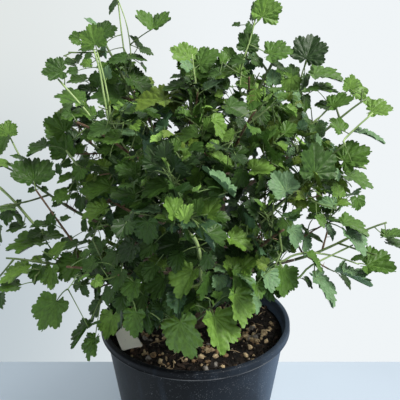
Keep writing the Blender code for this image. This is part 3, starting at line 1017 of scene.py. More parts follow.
@dataclass
class Skeleton:
    """The stem, the boughs and the twigs of every mass, grown by the source's rule."""

    paths: dict[str, list[Vector]] = field(default_factory=dict)
    roots: dict[str, float] = field(default_factory=dict)
    arrivals: dict[str, Vector] = field(default_factory=dict)
    twigs: list[Twig] = field(default_factory=list)
    limbs: BVHTree | None = None

    def grow(self) -> None:
        """Grows everything that the solids hold."""
        self.paths["stem"] = [Vector((lean, 0.0, STEM_FOOT + height)) for height, lean, _ in STEM_RINGS]
        for mass in MASSES:
            self.grow_bough(mass)
        self.limbs = self.limb_tree()
        for seed, mass in enumerate(MASSES):
            self.grow_twigs(mass, random.Random(seed))

    def grow_bough(self, mass: Mass) -> None:
        """Grows a mass's bough, from the limb that carries it to the mass's entry.

        Args:
            mass: the mass that the bough carries.
        """
        middle = Vector(mass.middle)
        start, lift = along(self.paths[mass.carrier], mass.share)
        flat = Vector((middle.x, middle.y, 0.0)).normalized()
        root = BOUGH_ROOT
        if mass.carrier == "stem":
            start = start + BOUGH_SPREAD * flat
            set_out = (UPRIGHT * lift + (1 - UPRIGHT) * flat).normalized()
        else:
            set_out = (UPRIGHT * lift + (1 - UPRIGHT) * (middle - start).normalized()).normalized()
            below = self.roots[mass.carrier]
            root = FORK_SHARE * (below + mass.share * (BOUGH_TIP - below))
        arrive = ((middle - start).normalized() + FLARE * flat).normalized()
        entry = middle - ENTRY_SHARE * mass.radius * arrive
        self.paths[mass.name] = arch(start, set_out, entry, arrive, BOUGH_POINTS)
        self.arrivals[mass.name], self.roots[mass.name] = arrive, root

    def limb_tree(self) -> BVHTree:
        """Everything that foliage must stay clear of: the limbs, a little wider than they are."""
        points, faces = [], []
        for name, path in self.paths.items():
            widest = STEM_RINGS[0][2] if name == "stem" else BOUGH_ROOT + CLEAR
            ring_points, ring_faces = prism(path, widest, len(points))
            points += ring_points
            faces += ring_faces
        return BVHTree.FromPolygons(points, faces)

    def clear(self, path: list[Vector], room: Room, margin: float) -> bool:
        """Whether a new twig stays inside its room by a margin, and off the limbs."""
        sleeve = BVHTree.FromPolygons(*prism(path[1:], TWIG_TIP))
        return room.holds(path[1:], margin) and not self.limbs.overlap(sleeve)

    def grow_twigs(self, mass: Mass, chance: random.Random) -> None:
        """Grows a mass's leader and the side twigs that branch from it.

        Args:
            mass: the mass.
            chance: the mass's own seeded chance.
        """
        room, arrive, entry = Room(mass), self.arrivals[mass.name], self.paths[mass.name][-1]
        tip = room.middle + room.radius * (LEADER_REACH * arrive + Vector((0.0, 0.0, LEADER_RISE)))
        while not room.holds([tip], LEADER_MARGIN):
            tip = tip.lerp(room.middle, 0.15)
        leader = arch(entry + arrive * GAP, arrive, tip, arrive, LEADER_POINTS)
        wood = Wood.GREEN if mass.name in GREEN_LEADERS else Wood.OLD
        main = Twig(leader, LEADER_ROOT, TWIG_TIP * 0.9, 0, wood, mass.name)
        self.twigs.append(main)
        turn = chance.uniform(0.0, 2 * math.pi)
        for i in range(SIDE_TWIGS):
            share = FIRST_TWIG + TWIG_SPAN * i / SIDE_TWIGS
            start, way = along(leader, share)
            turn += GOLDEN_ANGLE + chance.uniform(-TWIG_TURN, TWIG_TURN)
            length = room.radius * (0.95 - 0.45 * share) * chance.uniform(*TWIG_STRETCH)
            lift = chance.uniform(*TWIG_BEND)
            out = side_way(way, turn, math.radians(chance.uniform(*TWIG_DEGREES)))
            for _ in range(TRIES):
                path = twig_path(start, out, length, lift)
                if self.clear(path, room, TWIG_MARGIN):
                    wood = Wood.GREEN if share > 0.4 else Wood.OLD
                    self.twigs.append(Twig(path, TWIG_ROOT, TWIG_TIP * 0.7, 1, wood, mass.name, main, share))
                    break
                length *= 0.80


class LeafShape:
    """The blade of a gooseberry leaf, one unit from its stalk to its tip, with round lobes about the stalk.

    The plain blade is facets: its outline goes from tooth to notch to tooth, with the teeth low and
    the notches high, and each tooth's fold runs to the middle of its lobe. The fine blade, for the
    few leaves that stand out, is a smooth grid with rounded teeth, sunken veins and ripples along
    the side veins.
    """

    REACHES = (0.32, 0.74, 0.92, 1.0, 0.92, 0.74, 0.32)
    LOBE_ANGLE = 42.0
    TOOTH_ANGLE = 7.0
    RIM_POINTS = 43
    SINUS_DROP = 0.18
    BAY = 2.6
    NOTCH = 0.930
    PLEAT = 0.021
    MIDDLE_SHARE = 0.46
    VEINS = 5
    VEIN_HALF = 0.011
    VEIN_LIFT = 0.010
    MIDDLE = 0.40
    LENGTH = 1.20
    WIDTH = 1.46
    FINE_TEETH = 28
    FINE_SPAN = 147.0
    FINE_RINGS = (0.08, 0.16, 0.24, 0.32, 0.40, 0.48, 0.56, 0.64, 0.72, 0.79, 0.86, 0.93, 1.0)
    FINE_DRAW = 0.080
    FINE_RISE = 0.050
    RIPPLE = 0.011
    RIPPLES = 4.6
    VEIN_REACH = 0.93

    def __init__(self, fine: bool = False) -> None:
        """Works out the points and the faces of one blade.

        Args:
            fine: whether it is the fine blade.
        """
        self.fine = fine
        self.lobes = np.arange(self.VEINS) - self.VEINS // 2
        self.reaches = np.array(self.REACHES)[self.lobes + len(self.REACHES) // 2]
        points, blade = self.grid() if fine else self.facets()
        strips, veins = self.strips(len(points))
        self.points = np.concatenate([points, strips])
        self.faces = [self.facing_up(corners) for corners in blade + veins]
        self.is_vein = np.array([False] * len(blade) + [True] * len(veins))
        self.outline = np.array([*range(0, self.RIM_POINTS, 3), self.RIM_POINTS + self.VEINS])

    def lobed(self, angle: Array) -> Array:
        """The rim's distance: the most, over the lobes, of a reach less a power of the angle off it.

        Args:
            angle: angles from the midrib, in degrees, (n,).

        Returns:
            The distance at each.
        """
        reaches = np.array(self.REACHES)
        centres = self.LOBE_ANGLE * (np.arange(len(reaches)) - len(reaches) // 2)
        off = (angle[:, None] - centres) / (self.LOBE_ANGLE / 2)
        return (reaches * (1 - self.SINUS_DROP * np.abs(off) ** self.BAY)).max(1)

    def middles(self) -> Array:
        """The middle of each lobe's fold."""
        return self.polar(self.LOBE_ANGLE * self.lobes, self.MIDDLE_SHARE * self.reaches, -self.PLEAT)

    def facets(self) -> tuple[Array, list]:
        """The plain blade: its rim, a point in each lobe and the stalk's point, and its faces."""
        half, first, hub = self.RIM_POINTS // 2, self.RIM_POINTS, self.RIM_POINTS + self.VEINS
        angle = self.TOOTH_ANGLE * (np.arange(self.RIM_POINTS) - half)
        reach = self.lobed(angle)
        notch = (np.arange(self.RIM_POINTS) - half) % 2 == 1
        height = np.where(notch, 1, -1) * self.PLEAT * reach
        rim = self.polar(angle, np.where(notch, reach * self.NOTCH, reach), height)
        nearest = np.rint((angle[:-1] + angle[1:]) / 2 / self.LOBE_ANGLE)
        nearest = np.clip(nearest, self.lobes[0], self.lobes[-1]).astype(int) + self.VEINS // 2
        blade = [[first + nearest[i], i + 1, i] for i in range(self.RIM_POINTS - 1)]
        for i in np.nonzero(np.diff(nearest))[0]:
            blade.append([hub, first + nearest[i + 1], i + 1, first + nearest[i]])
        blade += [[hub, first, 0], [hub, self.RIM_POINTS - 1, first + self.VEINS - 1]]
        return np.concatenate([rim, self.middles(), np.zeros((1, 3))]), blade

    def grid(self) -> tuple[Array, list]:
        """The fine blade: rings of points about the stalk's point, and its faces.

        A tooth draws the rim in by a power of the sine of its phase. The height rises from each
        main vein as the sine of the angle off it, and ripples with the distance along the vein
        less the distance from it.
        """
        count = 4 * self.FINE_TEETH + 1
        angle = np.linspace(-self.FINE_SPAN, self.FINE_SPAN, count)
        phase = np.abs(np.sin(np.pi * np.arange(count) / 4))
        share = np.array(self.FINE_RINGS)[:, None]
        draw = self.FINE_DRAW * (1 - phase**0.6) * np.clip((share - 0.8) / 0.2, 0, 1) ** 2
        reach = self.lobed(angle) * share * (1 - draw)
        middle = self.LOBE_ANGLE * np.clip(np.rint(angle / self.LOBE_ANGLE), self.lobes[0], self.lobes[-1])
        off = np.radians(angle - middle)
        ahead, aside = reach * np.cos(off), reach * np.abs(np.sin(off))
        part = np.minimum(np.abs(off) / np.radians(self.LOBE_ANGLE / 2), 1.2)
        rise = self.FINE_RISE * share * np.sin(part * np.pi / 1.25)
        ripple = np.sin(2 * np.pi * self.RIPPLES * (ahead - 0.9 * aside))
        ripple = self.RIPPLE * ripple * np.clip(aside / 0.06, 0, 1)
        height = rise + ripple - 0.5 * self.PLEAT + 0.012 * np.clip((share - 0.7) / 0.3, 0, 1) * phase
        points = self.polar(angle, reach, height).reshape(-1, 3)
        hub = len(points)
        ring, step = np.meshgrid(np.arange(len(share) - 1), np.arange(count - 1), indexing="ij")
        corner = (ring * count + step).reshape(-1)
        quads = np.stack([corner, corner + 1, corner + count + 1, corner + count], -1).tolist()
        fan = [[hub, i, i + 1] for i in range(count - 1)]
        return np.concatenate([points, np.zeros((1, 3))]), quads + fan

    def strips(self, base: int) -> tuple[Array, list]:
        """The veins: a thin strip along each lobe, on top of the blade.

        Args:
            base: the number of their first point.

        Returns:
            Their points and faces.
        """
        turn = self.LOBE_ANGLE * self.lobes
        aside = self.polar(turn + 90, self.VEIN_HALF, 0.0)
        ends = self.polar(turn, self.VEIN_REACH * self.reaches, -self.PLEAT * self.reaches)
        lift = np.array([0.0, 0.0, self.VEIN_LIFT])
        low, high = self.middles() - aside + lift, self.middles() + aside + lift
        root, veins = base + 3 * self.VEINS, []
        for left in range(base, base + self.VEINS):
            right, end = left + self.VEINS, left + 2 * self.VEINS
            veins += [[root, right, left], [left, right, end]]
        return np.concatenate([low, high, ends + 0.4 * lift, lift[None]]), veins

    @staticmethod
    def polar(angle: Array, reach: Array | float, height: Array | float) -> Array:
        """Points by their angle from the midrib in degrees, their distance and their height."""
        turn = np.radians(angle)
        return np.stack(np.broadcast_arrays(reach * np.sin(turn), reach * np.cos(turn), height), -1)

    def facing_up(self, corners: list[int]) -> list[int]:
        """Puts a face's corners in the order that makes it look up.

        Args:
            corners: their numbers.

        Returns:
            The same numbers, the other way round if need be.
        """
        x, y = self.points[corners, 0], self.points[corners, 1]
        area = (x * np.roll(y, -1) - np.roll(x, -1) * y).sum()
        return list(corners) if area > 0 else list(corners)[::-1]

    @staticmethod
    def shaped(template: Array, warp: Array) -> Array:
        """Blades bent out of the flat.

        Each half turns up about the midrib by the fold's angle. Heights are scaled by the pleat,
        lose curl times the square of the distance along the midrib, gain cup times the square of
        the distance from the stalk, and wave five times round the stalk.

        Args:
            template: the points of one blade, (k, 3).
            warp: fold, curl, cup, pleat, wave, the wave's turn and the width of each blade, (n, 7).

        Returns:
            The points, (n, k, 3).
        """
        fold, curl, cup, pleat, wave, turn, width = (warp[:, i : i + 1] for i in range(7))
        x, y = template[:, 0] * width, np.broadcast_to(template[:, 1], (len(warp), len(template)))
        reach = np.hypot(x, y)
        z = template[:, 2] * pleat + cup * reach**2 + wave * np.sin(5 * np.arctan2(x, y) + turn) * reach
        side = np.sign(x)
        x, z = x * np.cos(fold) - side * z * np.sin(fold), np.abs(x) * np.sin(fold) + z * np.cos(fold)
        return np.stack([x, y * (1 - 0.25 * curl**2), z - curl * np.maximum(y, 0) ** 2], -1)


@dataclass
class Leaf:
    """One leaf: where its stalk starts, and its blade's root, direction, upper side and length."""

    stalk: Vector
    root: Vector
    way: Vector
    face: Vector
    size: float
    tint: Tint
    warp: tuple
    mass: str
    fine: bool = False


LEAF = LeafShape()
FINE_LEAF = LeafShape(True)


def blade_points(template: Array, leaves: list[Leaf]) -> Array:
    """The template's points on each leaf, in the row's frame.

    Args:
        template: the points of one blade, (k, 3).
        leaves: the leaves.

    Returns:
        The points, (leaves, k, 3).
    """
    warped = LeafShape.shaped(template, np.array([leaf.warp for leaf in leaves]))
    way, face = (np.array([getattr(leaf, part) for leaf in leaves]) for part in ("way", "face"))
    across = unit(np.cross(way, face))
    axes = np.stack([across, way, np.cross(across, way)], 1)
    size = np.array([leaf.size for leaf in leaves])[:, None, None]
    root = np.array([leaf.root for leaf in leaves])[:, None, :]
    return root + size * np.einsum("nki,nij->nkj", warped, axes)


@dataclass(frozen=True)
class ShowShoot:
    """A shoot that the photo shows plainly, through pixels (u, v) at depth y."""

    y: float
    line: tuple
    root: float = 0.0014
    tip: float = 0.0009
    wood: Wood = Wood.PALE


@dataclass(frozen=True)
class ShowLeaf:
    """A leaf that the photo shows plainly.

    u and v are the pixel of its blade's middle and y its likely depth in centimetres. heading is the
    way that its tip points in the picture (0 right, 90 up), and long and wide are the blade's length
    and width there in pixels, from which its tilt follows.
    """

    u: float
    v: float
    y: float
    heading: float
    long: float
    wide: float
    tint: Tint
    fold: float = 0.22


SHOW_SHOOTS = (
    (0.015, ((127, 92), (125, 60), (121, 28), (117, -10)), 0.0013, 0.0008),
    (0.010, ((129, 90), (131, 58), (127, 26), (119, 2)), 0.0010, 0.0006),
    (0.000, ((110, 128), (104, 96), (100, 72), (94, 50))),
    (-0.006, ((112, 124), (107, 92), (102, 70), (97, 52)), 0.0012),
    (-0.010, ((105, 140), (90, 116), (74, 97), (58, 79)), 0.0016, 0.0010),
    (-0.020, ((82, 172), (74, 161), (66, 150)), 0.0018, 0.0012),
    (-0.040, ((42, 233), (32, 222), (14, 201), (-4, 184)), 0.0021, 0.0014),
    (-0.010, ((74, 243), (53, 214), (36, 190)), 0.0013, 0.0010, Wood.OLD),
    (0.010, ((240, 92), (243, 62), (250, 40), (256, 16)), 0.0013),
    (0.000, ((300, 92), (302, 74), (309, 56)), 0.0012),
    (-0.010, ((344, 140), (357, 127), (373, 113)), 0.0012),
    (-0.050, ((312, 124), (321, 116), (330, 107)), 0.0011),
    (-0.040, ((278, 262), (294, 255), (312, 253), (334, 256), (358, 264)), 0.0014, 0.0008),
    (-0.050, ((294, 280), (309, 267), (326, 258), (353, 245)), 0.0014, 0.0008),
    (-0.080, ((224, 138), (229, 166), (235, 197)), 0.0013),
    (-0.168, ((201, 284), (201, 270), (200, 256), (196, 241), (188, 232), (178, 224)), 0.0027, 0.0015),
    (0.020, ((197, 92), (194, 72), (192, 54)), 0.0012),
    (-0.020, ((26, 166), (18, 153), (11, 139)), 0.0014),
    (-0.060, ((298, 242), (311, 232), (327, 223)), 0.0011, 0.0008, Wood.OLD),
    (-0.100, ((262, 222), (279, 206), (298, 188)), 0.0014),
    (-0.080, ((77, 275), (73, 282), (68, 289)), 0.0008, 0.0006),
)

SHOW_LEAVES = (
    (93, 36, 0, 100, 24, 26, F), (108, 31, 3, 20, 21, 18, D), (75, 38, 2, 165, 13, 13, M),
    (90, 22, 2, 140, 14, 4, G), (86, 49, 2, 180, 16, 7, D), (105, 50, 1, 268, 18, 7, G),
    (101, 54, 3, 200, 12, 8, D), (54, 72, -1, 185, 25, 23, D, 0.32), (69, 63, 2, 170, 15, 8, D),
    (79, 58, 2, 60, 12, 6, D), (86, 64, 1, 180, 13, 9, F), (77, 81, 1, 185, 22, 9, M),
    (83, 90, 2, 180, 18, 8, D), (108, 96, -1, 175, 36, 24, D), (97, 78, 2, 100, 16, 12, M),
    (70, 98, -1, 165, 31, 15, M), (79, 115, -2, 178, 36, 11, M), (56, 127, -2, 150, 27, 28, M),
    (65, 144, -3, 100, 30, 30, M, 0.3), (71, 126, 3, 180, 22, 6, D), (89, 134, -2, 195, 20, 13, M),
    (38, 150, 0, 207, 26, 10, D), (8, 128, -2, 92, 17, 18, F), (4, 144, -2, 250, 24, 14, M),
    (113, 7, 2, 225, 17, 6, D), (153, 23, 0, 87, 15, 42, M, 0.5), (135, 42, 1, 122, 17, 6, D),
    (147, 51, 0, 350, 15, 7, D), (137, 58, 1, 0, 21, 6, D), (144, 67, 0, 313, 11, 3, D),
    (118, 59, 0, 182, 21, 11, D), (107, 72, 0, 90, 14, 11, G), (140, 86, -1, 322, 34, 20, D),
    (150, 104, -3, 195, 46, 21, O), (182, 54, 0, 150, 27, 20, F), (207, 58, 0, 40, 28, 22, M),
    (196, 69, -1, 90, 20, 34, M), (186, 65, -2, 130, 14, 10, G), (176, 77, 0, 180, 13, 4, D),
    (176, 88, -1, 187, 28, 11, D), (228, 53, 1, 120, 15, 14, M), (236, 61, 1, 190, 18, 12, D),
    (248, 40, 0, 85, 23, 25, D), (258, 62, 1, 330, 15, 11, D), (279, 52, 0, 12, 29, 20, M),
    (230, 75, 0, 200, 31, 11, F), (223, 57, 0, 90, 14, 8, M), (214, 84, -1, 30, 23, 8, G),
    (245, 84, 0, 180, 21, 15, M), (253, 97, -2, 250, 19, 15, F), (266, 7, 0, 72, 29, 30, F, 0.3),
    (310, 48, -1, 75, 31, 40, S, 0.2), (278, 67, 1, 330, 17, 7, D), (292, 71, 0, 90, 15, 16, D),
    (273, 77, 1, 90, 16, 15, G), (290, 83, -1, 250, 18, 21, F), (326, 75, 0, 357, 35, 12, M),
    (325, 90, 1, 355, 27, 8, M), (351, 83, 0, 80, 18, 16, F), (359, 94, 0, 320, 21, 15, F),
    (368, 102, 0, 320, 9, 8, F), (380, 109, -1, 12, 25, 18, F, 0.3), (341, 103, -2, 20, 27, 17, M),
    (323, 105, 0, 162, 17, 9, D), (306, 101, 0, 300, 13, 10, M), (337, 125, -3, 130, 20, 14, M),
    (370, 135, -1, 347, 33, 3, G), (317, 133, -3, 280, 20, 16, D), (317, 141, -5, 90, 17, 7, G),
    (290, 152, -6, 270, 11, 10, G), (315, 161, -10, 88, 38, 36, D, 0.3), (354, 155, -6, 30, 34, 30, M),
    (359, 180, -5, 340, 32, 13, M), (337, 175, -7, 300, 13, 8, G), (337, 190, -5, 100, 17, 14, F),
    (343, 203, -5, 0, 17, 8, F), (358, 203, -4, 280, 16, 15, M), (281, 183, -12, 120, 29, 31, G),
    (327, 204, -8, 170, 19, 14, G), (314, 209, -7, 200, 14, 12, M), (325, 219, -7, 0, 36, 6, D),
    (354, 227, -7, 334, 34, 12, M), (355, 241, -7, 306, 36, 16, G), (379, 267, -4, 350, 33, 27, M, 0.35),
    (358, 258, -4, 180, 15, 7, D), (394, 235, -3, 8, 25, 9, M), (396, 245, -3, 340, 22, 9, D),
    (325, 288, -7, 309, 40, 15, G), (354, 278, -5, 336, 38, 9, G), (346, 281, -5, 310, 19, 6, D),
    (282, 281, -10, 268, 33, 25, M), (308, 283, -8, 310, 15, 6, D), (304, 244, -9, 270, 25, 10, G),
    (314, 262, -8, 308, 25, 7, M), (293, 237, -10, 280, 25, 17, G), (304, 230, -8, 320, 13, 4, D),
    (315, 238, -6, 340, 18, 5, M), (330, 232, -5, 300, 19, 7, G), (282, 229, -11, 250, 23, 18, M),
    (33, 171, -5, 93, 29, 47, D, 0.35), (3, 163, -3, 0, 17, 9, F), (18, 157, -3, 150, 15, 5, D),
    (66, 165, -2, 200, 13, 10, D), (84, 164, -2, 60, 12, 9, D), (79, 174, -3, 250, 15, 15, M),
    (65, 180, -3, 205, 18, 8, M), (97, 169, 0, 0, 14, 6, D), (60, 196, -4, 195, 19, 15, M),
    (98, 188, -5, 190, 38, 22, M), (95, 212, -6, 200, 30, 16, F), (45, 189, -1, 0, 7, 6, D),
    (31, 190, -1, 200, 8, 6, D), (19, 202, -3, 60, 7, 6, D), (6, 208, -5, 180, 19, 7, M),
    (17, 218, -5, 310, 19, 6, D), (52, 218, -4, 90, 15, 11, D), (66, 219, -4, 20, 11, 6, D),
    (40, 225, -4, 180, 20, 8, D), (51, 229, -4, 240, 10, 8, D), (101, 224, -4, 180, 15, 5, D),
    (27, 244, -5, 188, 41, 20, M, 0.3), (34, 235, -7, 200, 15, 11, D), (54, 236, -5, 10, 21, 10, M),
    (-1, 236, -3, 270, 23, 11, D), (60, 249, -6, 55, 23, 11, F), (49, 256, -5, 250, 14, 12, D),
    (36, 259, -5, 180, 13, 8, F), (97, 248, -6, 240, 22, 15, D), (90, 235, -4, 210, 18, 4, D),
    (85, 243, -4, 20, 12, 4, D), (72, 269, -7, 250, 29, 26, M), (52, 277, -7, 275, 26, 20, F),
    (38, 275, -6, 250, 21, 14, D), (16, 275, -5, 208, 34, 15, F), (8, 287, -5, 185, 24, 12, M),
    (0, 300, -5, 270, 19, 11, D), (49, 313, -8, 243, 38, 33, M, 0.15), (77, 286, -8, 250, 13, 7, D),
    (86, 291, -8, 290, 14, 9, D), (97, 309, -9, 245, 28, 10, D), (82, 335, -10, 238, 33, 8, D),
    (93, 324, -10, 35, 16, 3, D), (91, 347, -12, 250, 27, 15, M), (109, 325, -15, 252, 29, 23, F),
    (135, 323, -16, 265, 30, 24, M), (147, 321, -15, 280, 26, 13, D), (132, 290, -14, 260, 25, 20, M),
    (150, 273, -14, 240, 22, 18, D), (184, 337, -18, 285, 46, 36, F), (217, 332, -19, 280, 46, 40, F, 0.3),
    (238, 308, -16, 280, 41, 27, F), (255, 303, -16, 300, 22, 12, G), (249, 283, -17, 320, 30, 8, G),
    (234, 281, -17, 272, 34, 22, M, 0.5), (219, 283, -17, 270, 17, 15, G), (221, 270, -17, 0, 14, 6, G),
    (186, 282, -18, 238, 38, 30, F, 0.45), (204, 286, -17, 260, 30, 15, D), (160, 288, -15, 250, 31, 21, D),
    (156, 264, -15, 180, 28, 16, F), (248, 262, -16, 45, 26, 20, F), (231, 265, -16, 110, 24, 18, F),
    (268, 281, -14, 280, 25, 19, G), (258, 291, -14, 290, 18, 13, M), (171, 208, -18, 118, 25, 24, F, 0.4),
    (188, 213, -18, 60, 22, 18, Y, 0.3), (199, 206, -17, 70, 20, 15, M), (212, 207, -17, 60, 24, 22, F, 0.3),
    (222, 217, -14, 0, 18, 12, D), (145, 210, -16, 175, 31, 9, G), (218, 161, -12, 150, 31, 9, F),
    (218, 181, -13, 135, 44, 7, G), (194, 178, -10, 230, 21, 18, M), (262, 169, -12, 5, 28, 18, F),
    (240, 243, -15, 330, 30, 20, F), (147, 231, -14, 270, 29, 26, D), (155, 189, -13, 200, 34, 18, D),
    (128, 133, -8, 0, 21, 8, G), (189, 137, -8, 200, 26, 16, M), (216, 128, -6, 290, 28, 14, F),
    (228, 137, -8, 200, 17, 12, F), (240, 180, -9, 250, 22, 18, D), (214, 252, -13, 250, 20, 15, S),
    (170, 246, -14, 200, 26, 20, S), (125, 196, -10, 190, 30, 18, D), (128, 170, -9, 160, 28, 18, D),
    (110, 150, -8, 200, 26, 16, M), (238, 110, -4, 340, 28, 16, D), (262, 118, -6, 300, 22, 16, D),
    (240, 140, -8, 330, 24, 14, D), (7, 216, -4, 250, 20, 14, D), (80, 204, -4, 260, 18, 11, D),
    (72, 188, -4, 180, 12, 9, D), (86, 224, -5, 100, 16, 7, D), (66, 242, -5, 200, 16, 8, D),
    (253, 11, 0, 80, 18, 8, D), (236, 25, 0, 180, 9, 5, D), (249, 27, 0, 80, 12, 8, D),
    (88, 57, 0, 200, 10, 6, D), (72, 71, 0, 180, 12, 8, D), (306, 104, -1, 280, 18, 9, M),
    (312, 90, -1, 180, 14, 6, D), (320, 222, -7, 300, 16, 9, M), (205, 262, -14, 250, 20, 16, S),
    (190, 262, -14, 200, 20, 14, S), (176, 262, -15, 250, 24, 18, D), (148, 250, -14, 230, 24, 18, D),
    (128, 252, -13, 230, 26, 20, S), (112, 262, -12, 240, 24, 18, D), (118, 280, -13, 250, 24, 18, D),
    (142, 303, -15, 260, 24, 18, D), (120, 303, -14, 250, 22, 16, D), (100, 136, -4, 190, 26, 20, M),
    (118, 146, -5, 180, 24, 20, D), (108, 296, -10, 250, 20, 12, D), (252, 192, -8, 330, 16, 8, D),
    (304, 82, 0, 265, 18, 8, D), (71, 246, -5, 200, 18, 9, D), (16, 229, -4, 200, 20, 10, D),
    (101, 115, -2, 200, 9, 9, D), (60, 170, -4, 270, 14, 7, D), (56, 205, -4, 200, 10, 6, D),
    (74, 196, -4, 180, 11, 7, D), (84, 205, -4, 250, 14, 7, D), (98, 131, -11, 200, 24, 16, D),
    (112, 140, -11, 190, 22, 14, M), (359, 167, -5, 350, 16, 6, F), (84, 284, -7, 200, 12, 6, D),
    (90, 126, -6, 170, 20, 12, D), (104, 130, -6, 190, 20, 14, D),
)  # fmt: skip


@dataclass
class Foliage:
    """Finer twigs, leaf stalks and leaves, grown on the skeleton.

    sizes is the least, the greatest and the likeliest length of a leaf, and folds the same for how
    far it is folded. nodes are the shares of a twig that bear leaves. Stalks are measured against
    their blades. The low droops are for masses whose middle is under the low line. bends are the
    chances for a blade's other bends, and the finer ones are the short twigs'. The slacks say
    how far leaves may reach out of their room, and the worst fit how badly a covering leaf may
    suit its carrier. The blade and stalk spans, against a blade's length, say from where on two
    blades, or a blade and a stalk, can't touch. The near ones are in pixels.
    """

    skeleton: Skeleton
    seed: int = 7
    nodes: tuple = (0.98, 0.60, 0.80, 0.40, 0.22)
    sizes: Triple = (0.0140, 0.0290, 0.0200)
    young_sizes: tuple[float, float] = (0.008, 0.013)
    young_share: float = 0.4
    leaf_tries: int = 8
    leaf_degrees: tuple[float, float] = (30, 75)
    stalks: tuple[float, float] = (0.7, 1.8)
    tip_stalks: tuple[float, float] = (0.5, 1.2)
    low_line: float = 0.31
    droops: tuple[float, float] = (-0.5, 0.6)
    low_droops: tuple[float, float] = (0.2, 1.0)
    folds: Triple = (-0.05, 0.95, 0.30)
    curls: tuple[float, float] = (-0.15, 0.45)
    bends: tuple = ((0.9, 2.0), (0.0, 0.07), (0, 6.28), (0.92, 1.08))
    finer_first: float = 0.24
    finer_step: float = 0.22
    finer_shift: float = 0.06
    finer_lengths: tuple[float, float] = (0.30, 0.55)
    finer_degrees: tuple[float, float] = (40, 65)
    finer_bend: tuple[float, float] = (0.05, 0.2)
    finer_points: int = 7
    first_spine: float = 0.18
    spines_to: float = 0.76
    spine_degrees: tuple[float, float] = (65, 85)
    spine_lengths: tuple[float, float] = (0.006, 0.011)
    spine_radii: Triple = (0.00055, 0.00035, 0.00006)
    stalk_radii: tuple[float, ...] = (1.25, 0.95, 0.85, 0.85, 0.70)
    slack: float = 0.008
    cover_slack: float = 0.014
    worst_fit: float = 0.012
    blade_span: float = 0.80
    stalk_span: float = 0.75
    near_spots: int = 32
    near_guards: int = 40
    near_carriers: int = 18
    leaves: list[Leaf] = field(default_factory=list)
    blades: list[BVHTree] = field(default_factory=list)

    def __post_init__(self) -> None:
        """Starts the seeded chance, the rooms, and the notes on leaves, carriers and what the camera sees."""
        self.chance = random.Random(self.seed)
        self.rooms = {mass.name: Room(mass) for mass in MASSES}
        rim, count = LEAF.points[LEAF.outline], len(LEAF.outline)
        self.flat = np.concatenate([rim, [[0.0, LEAF.MIDDLE, 0.0]]])
        self.fan = [(i, (i + 1) % count, count) for i in range(count)]
        self.known = np.zeros((20000, 10))
        self.carrier_points, self.guards = np.zeros((0, 3)), np.zeros((0, 3))
        self.carrier_numbers, self.favours = np.zeros(0, int), np.zeros(0)
        self.front = np.zeros((FRAME, FRAME))
        spots = np.stack(np.meshgrid(np.arange(30, 376, 4), np.arange(40, 346, 4)), -1)
        self.spots = spots.reshape(-1, 2).astype(float)
        self.bare = SKY.inside(self.spots, SKY_OUTLINE) & ~SKY.in_window(self.spots)

    def grow(self) -> None:
        """Grows finer twigs, the leaves that the photo shows, leaves everywhere, and more in bare places."""
        for twig in self.skeleton.twigs:
            twig.path = [Vector(point) for point in smooth_path(twig.path, 13)]
        self.grow_finer()
        self.grow_shown()
        self.grow_sprays()
        self.grow_cover()
        for twig in reversed(self.skeleton.twigs):
            if twig.used and twig.parent:
                twig.parent.used = max(twig.parent.used, twig.share)
        log.info("%d leaves on %d twigs", len(self.leaves), len(self.skeleton.twigs))

    def grow_finer(self) -> None:
        """Carries the rule on: each leader and side twig gets short twigs of its own."""
        finer = []
        for twig in self.skeleton.twigs:
            room = self.rooms[twig.mass]
            length = sum((b - a).length for a, b in zip(twig.path, twig.path[1:]))
            turn = self.chance.uniform(0, 2 * math.pi)
            for i in range(4 if twig.rank == 0 else 3):
                share = self.finer_first + self.finer_step * i
                share += self.chance.uniform(-self.finer_shift, self.finer_shift)
                start, way = along(twig.path, share)
                turn += GOLDEN_ANGLE
                reach = length * self.chance.uniform(*self.finer_lengths)
                out = side_way(way, turn, math.radians(self.chance.uniform(*self.finer_degrees)))
                for _ in range(TRIES // 2):
                    path = twig_path(start, out, reach, self.chance.uniform(*self.finer_bend))
                    if self.skeleton.clear(path, room, 0.0):
                        curve = [Vector(point) for point in smooth_path(path, self.finer_points)]
                        root, tip = TWIG_ROOT * 0.7, TWIG_TIP * 0.5
                        finer.append(Twig(curve, root, tip, 2, Wood.GREEN, twig.mass, twig, share))
                        break
                    reach *= 0.75
        self.skeleton.twigs += finer

    def warp(self, fold: float, curl: float, droop: float = 0.34) -> tuple:
        """How one blade is bent: its fold and curl, and chance for the rest, with a limit to its droop."""
        return (fold, curl, *(self.chance.uniform(*span) for span in ((-droop, 0.08), *self.bends)))

    def outline(self, leaf: Leaf) -> Array:
        """A leaf's outline and, last, its middle."""
        return blade_points(self.flat, [leaf])[0]

